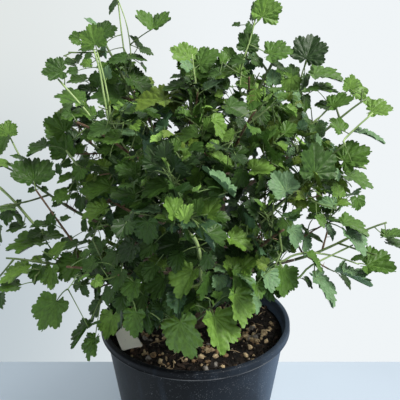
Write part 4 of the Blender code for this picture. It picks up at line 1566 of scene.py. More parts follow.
    def free(self, leaf: Leaf, points: Array) -> BVHTree | None:
        """Whether a leaf touches neither limbs nor other leaves, and no stalk goes through a blade.

        Args:
            leaf: the leaf.
            points: its outline and its middle.

        Returns:
            Its surface, or None if it touches something.
        """
        tree = BVHTree.FromPolygons(points.tolist(), self.fan)
        if self.skeleton.limbs.overlap(tree):
            return None
        known = self.known[: len(self.leaves)]
        middles, starts, ends, sizes = known[:, :3], known[:, 3:6], known[:, 6:9], known[:, 9]
        beside = np.linalg.norm(middles - points[-1], axis=1) < self.blade_span * (sizes + leaf.size)
        crossed = self.gap(middles, np.array(leaf.stalk), np.array(leaf.root)) < self.stalk_span * sizes
        crossing = self.gap(points[-1], starts, ends) < self.stalk_span * leaf.size
        beside, crossed, crossing = (np.nonzero(found)[0] for found in (beside, crossed, crossing))
        touches = (
            any(tree.overlap(self.blades[i]) for i in beside)
            or any(self.pierces(self.blades[i], leaf.stalk, leaf.root) for i in crossed)
            or any(self.pierces(tree, Vector(starts[i]), Vector(ends[i])) for i in crossing)
        )
        return None if touches else tree

    @staticmethod
    def gap(points: Array, starts: Array, ends: Array) -> Array:
        """The distance from each point to each line: to the nearest place on it.

        Args:
            points: the points, (..., 3).
            starts: where the lines start.
            ends: where they end.

        Returns:
            The distances.
        """
        run = ends - starts
        share = ((points - starts) * run).sum(-1) / np.maximum((run**2).sum(-1), 1e-12)
        return np.linalg.norm(points - starts - np.clip(share, 0, 1)[..., None] * run, axis=-1)

    @staticmethod
    def pierces(blade: BVHTree, start: Vector, end: Vector) -> bool:
        """Whether a stalk goes through a blade."""
        way = end - start
        return blade.ray_cast(start, way.normalized(), 0.92 * way.length)[0] is not None

    def keep(self, leaf: Leaf, points: Array, tree: BVHTree) -> None:
        """Adds a leaf, and notes which spots it covers.

        Args:
            leaf: the leaf.
            points: its outline and its middle.
            tree: its surface.
        """
        self.known[len(self.leaves)] = (*points[-1], *leaf.stalk, *leaf.root, leaf.size)
        seen, _ = PHOTO.pixels(points[:-1])
        near = np.nonzero(self.bare & (np.abs(self.spots - seen.mean(0)).max(1) < self.near_spots))[0]
        self.bare[near[SKY.inside(self.spots[near], seen)]] = False
        self.leaves.append(leaf)
        self.blades.append(tree)

    def keep_if_free(self, leaf: Leaf, slack: float) -> bool:
        """Adds a leaf if it stands free, leaves the sky open and hides nothing that the photo shows.

        Args:
            leaf: the leaf.
            slack: how far it may reach out of its room.

        Returns:
            Whether it was added.
        """
        points = self.outline(leaf)
        seen, ahead = PHOTO.pixels(points)
        if not self.rooms[leaf.mass].holds_all(points, -slack) or SKY.blocked(seen[:-1]):
            return False
        tree = None if self.hides_shown(seen, ahead.mean()) else self.free(leaf, points)
        if tree is not None:
            self.keep(leaf, points, tree)
        return tree is not None

    def map_carriers(self) -> None:
        """Lists points along every twig, for nearest_twig."""
        twigs = self.skeleton.twigs
        points = [[along(twig.path, 0.1 + 0.1 * i)[0] for i in range(CARRIER_STEPS)] for twig in twigs]
        self.carrier_points = np.array(points).reshape(-1, 3)
        self.carrier_numbers = np.repeat(np.arange(len(points)), CARRIER_STEPS)
        self.favours = np.repeat([0.011 * (twig.rank == 3) - twig.barred for twig in twigs], CARRIER_STEPS)

    def nearest_twig(self, place: Vector, way: Vector, reach: float) -> tuple[float, Vector, Twig, float]:
        """The twig that a stalk or shoot best grows from.

        Args:
            place: where it must end.
            way: the direction in which it goes on from there.
            reach: the length that it should have.

        Returns:
            How badly it fits, the point on the twig, the twig, and the share along it.
        """
        gap = self.carrier_points - np.array(place)
        length = np.linalg.norm(gap, axis=1)
        back = gap @ np.array(way) / np.maximum(length, 1e-9)
        cost = np.abs(length - reach) + 0.015 * np.maximum(0.0, back + 0.2) - self.favours
        best = int(cost.argmin())
        carrier, share = self.skeleton.twigs[self.carrier_numbers[best]], 0.1 + 0.1 * (best % CARRIER_STEPS)
        return float(cost[best]), Vector(self.carrier_points[best]), carrier, share

    def grow_shown(self) -> None:
        """Grows the shoots and leaves that the photo shows, each at the depth that suits its carrier."""
        for shoot in (ShowShoot(*row) for row in SHOW_SHOOTS):
            self.map_carriers()
            tries = []
            for step in range(-4, 5):
                points = [PHOTO.point(u, v, shoot.y + 0.01 * step) for u, v in shoot.line]
                way = (points[1] - points[0]).normalized()
                tries.append((*self.nearest_twig(points[0], way, 0.004), points))
            _, start, carrier, share, points = min(tries, key=lambda found: found[0])
            path = [Vector(point) for point in smooth_path([start, *points], 3 * len(points))]
            carrier.used = max(carrier.used, share)
            seen, ahead = PHOTO.pixels(np.array([tuple(point) for point in path]))
            self.guard(seen, ahead.mean())
            grown = Twig(path, shoot.root, shoot.tip, 3, shoot.wood, carrier.mass, used=1.0)
            self.skeleton.twigs.append(grown)
        self.map_carriers()
        for shown in (ShowLeaf(*row) for row in SHOW_LEAVES):
            tries = []
            for step in range(-3, 4):
                leaf = self.shown_leaf(shown, 0.01 * (shown.y + step))
                cost, leaf.stalk, carrier, share = self.nearest_twig(leaf.root, leaf.way, 0.016)
                leaf.mass = carrier.mass
                cost += 0.0010 * abs(step) + 0.006 * (self.free(leaf, self.outline(leaf)) is None)
                tries.append((cost, step, leaf, carrier, share))
            _, _, leaf, carrier, share = min(tries, key=lambda found: found[:2])
            carrier.used = max(carrier.used, share)
            points = self.outline(leaf)
            self.keep(leaf, points, BVHTree.FromPolygons(points.tolist(), self.fan))
            seen, ahead = PHOTO.pixels(points)
            self.guard(seen.mean(0) + 0.75 * (seen - seen.mean(0)), ahead.mean())
            self.note_front(seen[:-1], ahead.mean())
        self.bar_twigs()

    def note_front(self, seen: Array, ahead: float) -> None:
        """Notes how far away a shown leaf is, at each pixel that it covers.

        Args:
            seen: its outline in pixels, (n, 2).
            ahead: how far from the camera it is.
        """
        low, high = (np.clip(edge, 0, FRAME - 1).astype(int) for edge in (seen.min(0), seen.max(0) + 1))
        grid = np.stack(np.meshgrid(*(np.arange(a, b + 1) for a, b in zip(low, high))), -1).reshape(-1, 2)
        column, row = grid[SKY.inside(grid + 0.5, seen)].T
        known = self.front[row, column]
        self.front[row, column] = np.where(known == 0, ahead, np.minimum(known, ahead))

    def before_shown(self, points: Array) -> Array:
        """Which points stand in front of a shown leaf.

        Args:
            points: the points, (n, 3).

        Returns:
            True for each that does, (n,).
        """
        seen, ahead = PHOTO.pixels(points)
        column, row = np.clip(seen, 0, FRAME - 1).astype(int).T
        return ahead < self.front[row, column] - NEAR_SHOWN

    def bar_twigs(self) -> None:
        """Bars side twigs that cross the photo's sky or its shown leaves and carry nothing shown."""
        seen, _ = PHOTO.pixels(self.carrier_points)
        bad = self.before_shown(self.carrier_points) | ~SKY.inside(seen, SKY_OUTLINE) | SKY.in_window(seen)
        for twig, count in zip(self.skeleton.twigs, bad.reshape(-1, CARRIER_STEPS).sum(1)):
            twig.barred = twig.rank in (1, 2) and not twig.used and count >= (4 if twig.rank == 1 else 3)
        log.info("%d twigs barred", sum(twig.barred for twig in self.skeleton.twigs))

    def shown_leaf(self, shown: ShowLeaf, depth: float) -> Leaf:
        """The leaf that looks like a shown one from the camera.

        Args:
            shown: how it looks.
            depth: its blade's Y.

        Returns:
            The leaf, with no stalk yet.
        """
        right, _, forward = PHOTO.axes()
        middle = PHOTO.point(shown.u, shown.v, depth)
        back = (Vector(PHOTO.place) - middle).normalized()
        side = (right - right.dot(back) * back).normalized()
        upright = back.cross(side)
        heading = math.radians(shown.heading)
        flat = math.cos(heading) * side + math.sin(heading) * upright
        across = math.sin(heading) * side - math.cos(heading) * upright
        # The blade lies edge-on along whichever way it looks too short, and turns its face up and outwards
        scale = max(shown.long / LEAF.LENGTH, shown.wide / LEAF.WIDTH)
        pitch = math.acos(min(1.0, max(0.12, shown.long / LEAF.LENGTH / scale)))
        roll = math.acos(min(1.0, max(0.12, shown.wide / LEAF.WIDTH / scale)))
        up_out = upright + math.copysign(0.5, shown.u - PHOTO.centre) * side
        lean = math.copysign(math.tan(pitch), flat.dot(up_out)) * flat
        face = (back + lean + math.copysign(math.tan(roll), across.dot(up_out)) * across).normalized()
        way = (flat - face * flat.dot(face)).normalized()
        size = scale / PHOTO.focal * (middle - Vector(PHOTO.place)).dot(forward)
        root = middle - way * LEAF.MIDDLE * size
        warp, fine = self.warp(shown.fold, 0.05, 0.2), max(shown.long, shown.wide) >= FINE_PIXELS
        return Leaf(root, root, way, face, size, shown.tint, warp, "", fine)

    def guard(self, seen: Array, ahead: float) -> None:
        """Notes pixels, (n, 2), and how far away they are: nearer leaves must leave them in sight."""
        self.guards = np.concatenate([self.guards, np.column_stack([seen, np.full(len(seen), ahead)])])

    def hides_shown(self, seen: Array, ahead: float) -> bool:
        """Whether a leaf would stand in front of something that the photo shows.

        Args:
            seen: its outline in pixels, (n, 2).
            ahead: how far from the camera it is.

        Returns:
            True if it would.
        """
        behind = self.guards[self.guards[:, 2] > ahead - NEAR_GUARDED]
        near = behind[np.abs(behind[:, :2] - seen.mean(0)).max(1) < self.near_guards]
        return bool(len(near) and SKY.inside(near[:, :2], seen).any())

    def deal_tint(self, place: Vector, rank: int) -> Tint:
        """The colour of a spray, by where it grows: lighter outwards and upwards, partly for younger growth
        and partly as painted light and shade; more often the painted sheen tint to the right; and painted
        shade in the heart of the crown's front.

        Args:
            place: the spray's root.
            rank: its twig's rank.

        Returns:
            Its tint.
        """
        outness = math.hypot(place.x, place.y) / 0.24 + max(0.0, place.z - 0.38) / 0.22
        roll = self.chance.random() + 0.10 * min(rank, 2) + 0.40 * outness
        # Painted sheen: towards +X more sprays take the pale bluish sheen tint
        if self.chance.random() < 1.8 * min(place.x, 0.15):
            return G
        # Painted shade: the heart of the crown's front gets darker tints, as it lies in shade
        inside = math.hypot(place.x + 0.02, place.z - 0.35) / 0.15
        if place.y < 0.0 and inside < 1:
            roll -= 0.45 * (1 - inside) + 0.12
        hue = self.chance.random()
        for limit, tint, other in zip(TINT_LIMITS, (S, D, M, F), (S, C, O, O)):
            if roll < limit:
                return other if hue < 0.3 else tint
        return Y

    def grow_sprays(self) -> None:
        """Grows leaves at the nodes of every twig, the outer nodes first."""
        sprays = []
        for number, twig in enumerate(self.skeleton.twigs):
            tint = self.deal_tint(twig.path[-1], twig.rank)
            for order, share in enumerate(self.nodes):
                if not (twig.barred or (twig.rank == 2 and order in (2, 4))):
                    sprays.append((order, number, twig, share, tint))
        sprays.sort(key=lambda spray: spray[:2])
        for order, number, twig, share, tint in sprays:
            turn = order * GOLDEN_ANGLE + number + self.chance.uniform(-0.5, 0.5)
            for part in range(3 if share < 0.95 else 4):
                self.grow_leaf(twig, share, turn + part * 2.1, tint)

    def grow_leaf(self, twig: Twig, share: float, turn: float, tint: Tint) -> None:
        """Grows one leaf at a node, or none if there is no free place for it.

        Args:
            twig: the twig.
            share: how far along the twig the node is.
            turn: where round the twig the leaf starts.
            tint: the spray's tint.
        """
        place, way = along(twig.path, share)
        room, chance = self.rooms[twig.mass], self.chance
        outward = (place - room.middle).normalized()
        low = room.middle.z < self.low_line
        young = share > 0.95 and chance.random() < self.young_share
        if young:
            tint = chance.choice((Y, F, tint))
        for attempt in range(self.leaf_tries):
            out = side_way(way, turn, math.radians(chance.uniform(*self.leaf_degrees)))
            leaf_way = out + (0.40 - 0.12 * attempt) * outward + Vector((0, 0, -0.3 if low else 0.15))
            leaf_way.normalize()
            size = chance.uniform(*self.young_sizes) if young else chance.triangular(*self.sizes)
            size *= 1 - 0.05 * attempt
            stalk = size * chance.uniform(*(self.stalks if share < 0.95 else self.tip_stalks))
            root = place + leaf_way * stalk
            sky = Vector((3.2 * place.x, 2.2 * place.y - 0.1, 0.9))
            sky += Vector([chance.uniform(-0.75, 0.75) for _ in range(3)])
            droop = chance.uniform(*(self.low_droops if low else self.droops))
            blade_way = (leaf_way - Vector((0, 0, droop))).normalized()
            face = (sky - sky.dot(blade_way) * blade_way).normalized()
            warp = self.warp(chance.triangular(*self.folds), chance.uniform(*self.curls))
            leaf = Leaf(place, root, blade_way, face, size, tint, warp, twig.mass)
            turn += GOLDEN_ANGLE
            hides = self.before_shown(np.array([place, place.lerp(root, 0.5), root])).any()
            if not hides and self.keep_if_free(leaf, self.slack):
                twig.used = max(twig.used, share)
                return

    def grow_cover(self) -> None:
        """Grows leaves where the photo shows some and none stands yet, each beside a twig near there."""
        self.map_carriers()
        pixels, _ = PHOTO.pixels(self.carrier_points)
        order = list(np.nonzero(self.bare)[0])
        self.chance.shuffle(order)
        before, chance = len(self.leaves), self.chance
        for spot in order:
            near = np.nonzero(np.abs(pixels - self.spots[spot]).max(1) < self.near_carriers)[0]
            for attempt in range(24 if len(near) else 0):
                if not self.bare[spot]:
                    break
                y = float(self.carrier_points[chance.choice(near), 1]) + chance.uniform(-0.014, 0.014)
                u, v = (float(part) + chance.uniform(-4, 4) for part in self.spots[spot])
                tint = self.deal_tint(PHOTO.point(u, v, y), 0)
                most = 27 - 0.6 * attempt
                look = (chance.uniform(0, 360), chance.uniform(10, most), chance.uniform(7, most - 2))
                leaf = self.shown_leaf(ShowLeaf(u, v, 0.0, *look, tint, chance.uniform(0, 0.5)), y)
                cost, leaf.stalk, carrier, share = self.nearest_twig(leaf.root, leaf.way, 0.014)
                leaf.mass = carrier.mass
                if cost <= self.worst_fit and self.keep_if_free(leaf, self.cover_slack):
                    carrier.used = max(carrier.used, share)
        log.info("%d leaves fill bare spots, %d spots stay bare", len(self.leaves) - before, self.bare.sum())

    def build(self) -> None:
        """Makes the pieces: leaves for each mass, and stalks, twigs and spines for the plant."""
        tints = PAINTS.get(*(tint.value for tint in TINTS))
        for mass in MASSES:
            pile, smooth = Pile(), []
            for shape in (LEAF, FINE_LEAF):
                leaves = [leaf for leaf in self.leaves if leaf.mass == mass.name and leaf.fine is shape.fine]
                if not leaves:
                    continue
                totals = np.array([len(face) for face in shape.faces])
                step = (np.arange(len(leaves)) * len(shape.points))[:, None] + pile.count
                tint = np.array([TINTS.index(leaf.tint) for leaf in leaves])[:, None]
                pile.points.append(blade_points(shape.points, leaves).reshape(-1, 3))
                pile.loops.append((np.concatenate([np.array(face) for face in shape.faces]) + step).ravel())
                pile.totals.append(np.tile(totals, len(leaves)))
                pile.slots.append(np.where(shape.is_vein, np.array(LIGHTER)[tint], tint).ravel())
                pile.count += len(leaves) * len(shape.points)
                smooth.append(np.full(len(leaves) * len(totals), shape.fine))
            mesh = pile.mesh(f"leaves_{mass.name}", np.concatenate(smooth))
            place_piece(mesh, tints, "leaf_green", f"foliage_{mass.name}")
        self.build_stalks()
        self.build_twigs()

    def build_stalks(self) -> None:
        """Makes the leaf stalks: each bows up from the twig and runs a little way under its blade."""
        start = np.array([leaf.stalk for leaf in self.leaves])
        end = np.array([leaf.root - leaf.face * 0.0004 for leaf in self.leaves])
        run = np.array([leaf.way * leaf.size * 0.06 for leaf in self.leaves])
        reach = np.linalg.norm(end - start, axis=1, keepdims=True)
        bow = start * 0.45 + end * 0.55 + np.array([0.0, 0.0, 0.10]) * reach - 1.6 * run
        t = np.linspace(0, 1, 5)[None, :, None]
        paths = (1 - t) ** 2 * start[:, None] + 2 * t * (1 - t) * bow[:, None] + t**2 * end[:, None]
        radius = np.array([0.00042 + 0.011 * leaf.size for leaf in self.leaves])[:, None]
        pile = Pile().add(*sweep(paths, radius * np.array([self.stalk_radii]), 5))
        place_piece(pile.mesh("leaf_stalks"), PAINTS.get(LEAF_STALK), "leaf_green")

    def build_twigs(self) -> None:
        """Makes the twigs, swollen a little at their nodes, and the spines under the nodes."""
        pile, spines = Pile(), []
        for twig in (twig for twig in self.skeleton.twigs if twig.used):
            path = np.array([tuple(point) for point in twig.path])
            share = np.linspace(0, 1, len(path))
            swell = 1 + 0.22 * np.exp(-(((share * 5) % 1 - 0.5) ** 2) / 0.02)
            radii = (twig.root + (twig.tip - twig.root) * share) * swell
            kept = min(len(path), max(3, math.ceil(twig.used * (len(path) - 1)) + 1))
            tube = sweep(path[None, :kept], radii[None, :kept], 7 if twig.rank == 0 else 6)
            pile.add(*tube, twig.wood.value)
            if twig.rank < 2 and twig.wood is Wood.OLD:
                spines += self.spines_on(twig.path[:kept], 4)
        for name, path in self.skeleton.paths.items():
            if name != "stem":
                spines += self.spines_on(path, 7)
        nodes = [f"foliage_{mass.name}" for mass in MASSES]
        woods = PAINTS.get(YOUNG_WOOD, GREEN_SHOOT, PALE_SHOOT)
        place_piece(pile.mesh("twigs", uv="grain"), woods, "bark", *nodes)
        radii = np.array([self.spine_radii]) * np.ones((len(spines), 1))
        pile = Pile().add(*sweep(np.array(spines), radii, 4))
        place_piece(pile.mesh("spines"), PAINTS.get(SPINE_HORN), "bark")

    def spines_on(self, path: list[Vector], count: int) -> list:
        """The spines at a limb's nodes, one to three at each.

        Args:
            path: the limb's middle line.
            count: how many nodes bear them.

        Returns:
            Three points for each spine.
        """
        made = []
        for i in range(count):
            place, way = along(path, self.first_spine + self.spines_to * i / count)
            turn = self.chance.uniform(0, 2 * math.pi)
            for part in range(self.chance.choice((1, 2, 3))):
                out = side_way(way, turn + part * 0.9, math.radians(self.chance.uniform(*self.spine_degrees)))
                tip = place + out * self.chance.uniform(*self.spine_lengths)
                made.append([tuple(place), tuple(place.lerp(tip, 0.5)), tuple(tip + way * 0.0004)])
        return made


@dataclass
class Limbs:
    """The stem and the boughs, with their bark's relief."""

    skeleton: Skeleton
    stem_sides: int = 40
    bough_sides: int = 16
    stem_points: int = 46
    bough_points: int = 44
    ridge: float = 0.085
    kink: float = 0.0012

    def build(self) -> None:
        """Makes the stem and each bough as a piece of its own."""
        heights, leans, radii = (np.array(column) for column in zip(*STEM_RINGS))
        at = np.linspace(0, heights[-1], self.stem_points)
        path = np.stack([np.interp(at, heights, leans), np.zeros(len(at)), STEM_FOOT + at], -1)
        width = np.interp(at, heights, radii)
        width = np.convolve(np.pad(width, 2, mode="edge"), np.ones(5) / 5, mode="valid")
        self.piece("stem_bark", path, width, self.stem_sides, 3, "stem")
        for seed, mass in enumerate(MASSES):
            path = smooth_path(self.skeleton.paths[mass.name], self.bough_points)
            share = np.linspace(0, 1, len(path))
            width = self.skeleton.roots[mass.name] * (1 - share) + BOUGH_TIP * share
            width = width * (1 + 0.10 * np.exp(-(((share * 7) % 1 - 0.5) ** 2) / 0.012))
            path = path + self.kinks(path, seed) * np.minimum(share, 1 - share)[:, None] * 2
            self.piece(f"limb_{mass.name}", path, width, self.bough_sides, 20 + seed, f"bough_{mass.name}")

    def kinks(self, path: Array, seed: int) -> Array:
        """Small side steps, by noise along the path, that keep a bough from looking drawn with a ruler."""
        steps = [lattice_noise(path * 45.0 + 7.3 * axis, 50 + seed) for axis in range(3)]
        return self.kink * np.stack(steps, -1)

    def piece(self, name: str, path: Array, width: Array, sides: int, seed: int, node: str) -> None:
        """Makes one limb with bark: its radius is scaled by noise, fine round the limb and long along it.

        Args:
            name: the piece's name.
            path: its middle line, (n, 3).
            width: its radius at each point, (n,).
            sides: how many sides a ring has.
            seed: which bark.
            node: the node that it stands for.
        """
        grid = around(2.6, turns(sides), distances(path)[:, None] * 70.0)
        rough = lattice_noise(grid, seed) + 0.5 * lattice_noise(grid * 2.3, seed + 1)
        skin = width[:, None] * (1 + self.ridge * rough)
        mesh = Pile().add(*sweep(path[None], skin[None], sides)).mesh(name, uv="grain")
        place_piece(mesh, PAINTS.get(OLD_WOOD), "bark", node)


@dataclass
class Pot:
    """The black nursery pot: tapered wall, rolled rim with a bead under it, floor and drainage holes."""

    sides: int = 160
    rim_round: float = 0.0021
    bead: float = 0.0006
    foot_bevel: float = 0.0030
    drain_holes: int = 6
    drain_radius: float = 0.0055
    drain_circle: float = 0.074
    sharp: float = math.radians(38)

    def profile(self) -> Array:
        """The wall's section, from the floor's middle up the inside, over the rim and down the outside."""
        foot = POT_HEIGHT - RIM_DEPTH
        inner = wall_radius(POT_HEIGHT) - WALL
        top = POT_HEIGHT - self.rim_round
        floor_edge = wall_radius(FLOOR) - WALL
        lines = [
            np.array([[0.0, FLOOR], [0.04, FLOOR], [floor_edge - 0.0025, FLOOR]]),
            arc((floor_edge - 0.0015, FLOOR + 0.0015), 0.0015, -60, 0, 4),
            np.array([[wall_radius(h) - WALL, h] for h in np.linspace(0.02, POT_HEIGHT - 0.006, 9)]),
            arc((inner + self.rim_round, top), self.rim_round, 180, 90, 6),
            arc((RIM_RADIUS - self.rim_round, top), self.rim_round, 90, 0, 6),
            np.array([[RIM_RADIUS - 0.0001, top - 0.0022], [RIM_RADIUS - 0.0002, foot + 3.4 * self.bead]]),
            arc((RIM_RADIUS - self.bead * 0.4, foot + 1.4 * self.bead), self.bead * 1.1, 60, -90, 6),
            np.array([[wall_radius(foot) + 0.0012, foot + 0.0001]]),
            arc((wall_radius(foot) + 0.0009, foot - 0.0008), 0.0009, 90, 180, 3),
            np.array([[wall_radius(h), h] for h in np.linspace(foot - 0.004, self.foot_bevel + 0.001, 12)]),
            arc((wall_radius(0) - self.foot_bevel, self.foot_bevel), self.foot_bevel, 0, -90, 6),
            np.array([[0.09, 0.0], [0.04, 0.0], [0.0, 0.0]]),
        ]
        return np.concatenate(lines)

    def drilled(self, mesh: bpy.types.Mesh) -> bpy.types.Mesh:
        """The pot with its drainage holes cut through the floor.

        Args:
            mesh: the whole pot.

        Returns:
            The drilled mesh.
        """
        ends = [around(self.drain_circle, turns(self.drain_holes), height) for height in (-0.006, 0.010)]
        tubes = sweep(np.stack(ends, 1), np.full((self.drain_holes, 2), self.drain_radius), 24)
        body = bpy.data.objects.new("pot_blank", mesh)
        drills = bpy.data.objects.new("drills", Pile().add(*tubes).mesh("drills"))
        for made in (body, drills):
            bpy.context.scene.collection.objects.link(made)
        cut = body.modifiers.new("drainage", "BOOLEAN")
        cut.operation, cut.object, cut.solver = "DIFFERENCE", drills, "EXACT"
        bpy.context.view_layer.update()
        graph = bpy.context.evaluated_depsgraph_get()
        drilled = bpy.data.meshes.new_from_object(body.evaluated_get(graph))
        bpy.data.objects.remove(body)
        bpy.data.objects.remove(drills)
        return drilled

    def build(self) -> None:
        """Makes the pot."""
        mesh = self.drilled(Pile().add(*turned(self.profile(), self.sides)).mesh("pot_blank"))
        mesh.name = "pot_moulded"
        mesh.materials.clear()
        mesh.polygons.foreach_set("use_smooth", np.full(len(mesh.polygons), True))
        mesh.set_sharp_from_angle(angle=self.sharp)
        place_piece(mesh, PAINTS.get(PotFinish()), "pot_plastic", "pot")


@dataclass(frozen=True)
class Grit:
    """One kind of bit that lies on the compost.

    span is the least and greatest length, and wide and thick are shares of that. jitter is how far
    its points are knocked, against its size, and tilt how far it leans, in radians. shares says how
    many are of each finish.
    """

    name: str
    points: tuple
    faces: tuple
    count: int
    seed: int
    span: tuple[float, float]
    wide: float
    thick: float
    jitter: float
    tilt: float
    shares: Triple
    finishes: tuple[GritFinish, ...]
    smooth: bool = False


SLAB = (
    (-0.5, -0.35, -0.5), (0.5, -0.25, -0.5), (0.4, 0.35, -0.5), (-0.4, 0.45, -0.5),
    (-0.4, -0.25, 0.5), (0.45, -0.2, 0.4), (0.3, 0.25, 0.5), (-0.35, 0.3, 0.45),
)  # fmt: skip
SLAB_FACES = ((3, 2, 1, 0), (4, 5, 6, 7), (0, 1, 5, 4), (1, 2, 6, 5), (2, 3, 7, 6), (3, 0, 4, 7))
FAR, NEAR = (1 + 5**0.5) / 2 / 3.8, 1 / 3.8
BALL = (
    (-NEAR, FAR, 0), (NEAR, FAR, 0), (-NEAR, -FAR, 0), (NEAR, -FAR, 0), (0, -NEAR, FAR), (0, NEAR, FAR),
    (0, -NEAR, -FAR), (0, NEAR, -FAR), (FAR, 0, -NEAR), (FAR, 0, NEAR), (-FAR, 0, -NEAR), (-FAR, 0, NEAR),
)  # fmt: skip
BALL_FACES = (
    (0, 11, 5), (0, 5, 1), (0, 1, 7), (0, 7, 10), (0, 10, 11), (1, 5, 9), (5, 11, 4), (11, 10, 2),
    (10, 7, 6), (7, 1, 8), (3, 9, 4), (3, 4, 2), (3, 2, 6), (3, 6, 8), (3, 8, 9), (4, 9, 5),
    (2, 4, 11), (6, 2, 10), (8, 6, 7), (9, 8, 1),
)  # fmt: skip
GRITS = (
    Grit("bark_chips", SLAB, SLAB_FACES, 520, 41, (0.004, 0.014), 0.48, 0.26, 0.18, 0.35, (0.36, 0.52, 0.12),
         (GritFinish("chip_brown", (0.050, 0.031, 0.020), (0.013, 0.010, 0.007)),
          GritFinish("chip_dark", (0.016, 0.012, 0.010), (0.006, 0.005, 0.004)),
          GritFinish("chip_tan", (0.460, 0.350, 0.200), (0.150, 0.105, 0.060)))),
    Grit("stones", BALL, BALL_FACES, 130, 42, (0.0045, 0.0120), 0.80, 0.62, 0.10, 0.20, (0.58, 0.10, 0.32),
         (GritFinish("stone_cream", (0.640, 0.500, 0.290), (0.200, 0.142, 0.078), 0.7),
          GritFinish("stone_grey", (0.230, 0.215, 0.190), (0.080, 0.068, 0.054), 0.7),
          GritFinish("stone_ochre", (0.330, 0.215, 0.110), (0.090, 0.060, 0.036), 0.7)), True),
    Grit("crumbs", BALL, BALL_FACES, 1500, 43, (0.0012, 0.0034), 0.85, 0.75, 0.22, 0.6, (0.66, 0.22, 0.12),
         (GritFinish("crumb_dark", (0.013, 0.010, 0.008), (0.006, 0.005, 0.004)),
          GritFinish("crumb_brown", (0.055, 0.037, 0.024), (0.020, 0.014, 0.010)),
          GritFinish("crumb_pale", (0.340, 0.290, 0.220), (0.140, 0.110, 0.080)))),
)  # fmt: skip
STRAW = GritFinish("straw", (0.430, 0.330, 0.190), (0.230, 0.160, 0.085), 0.6)


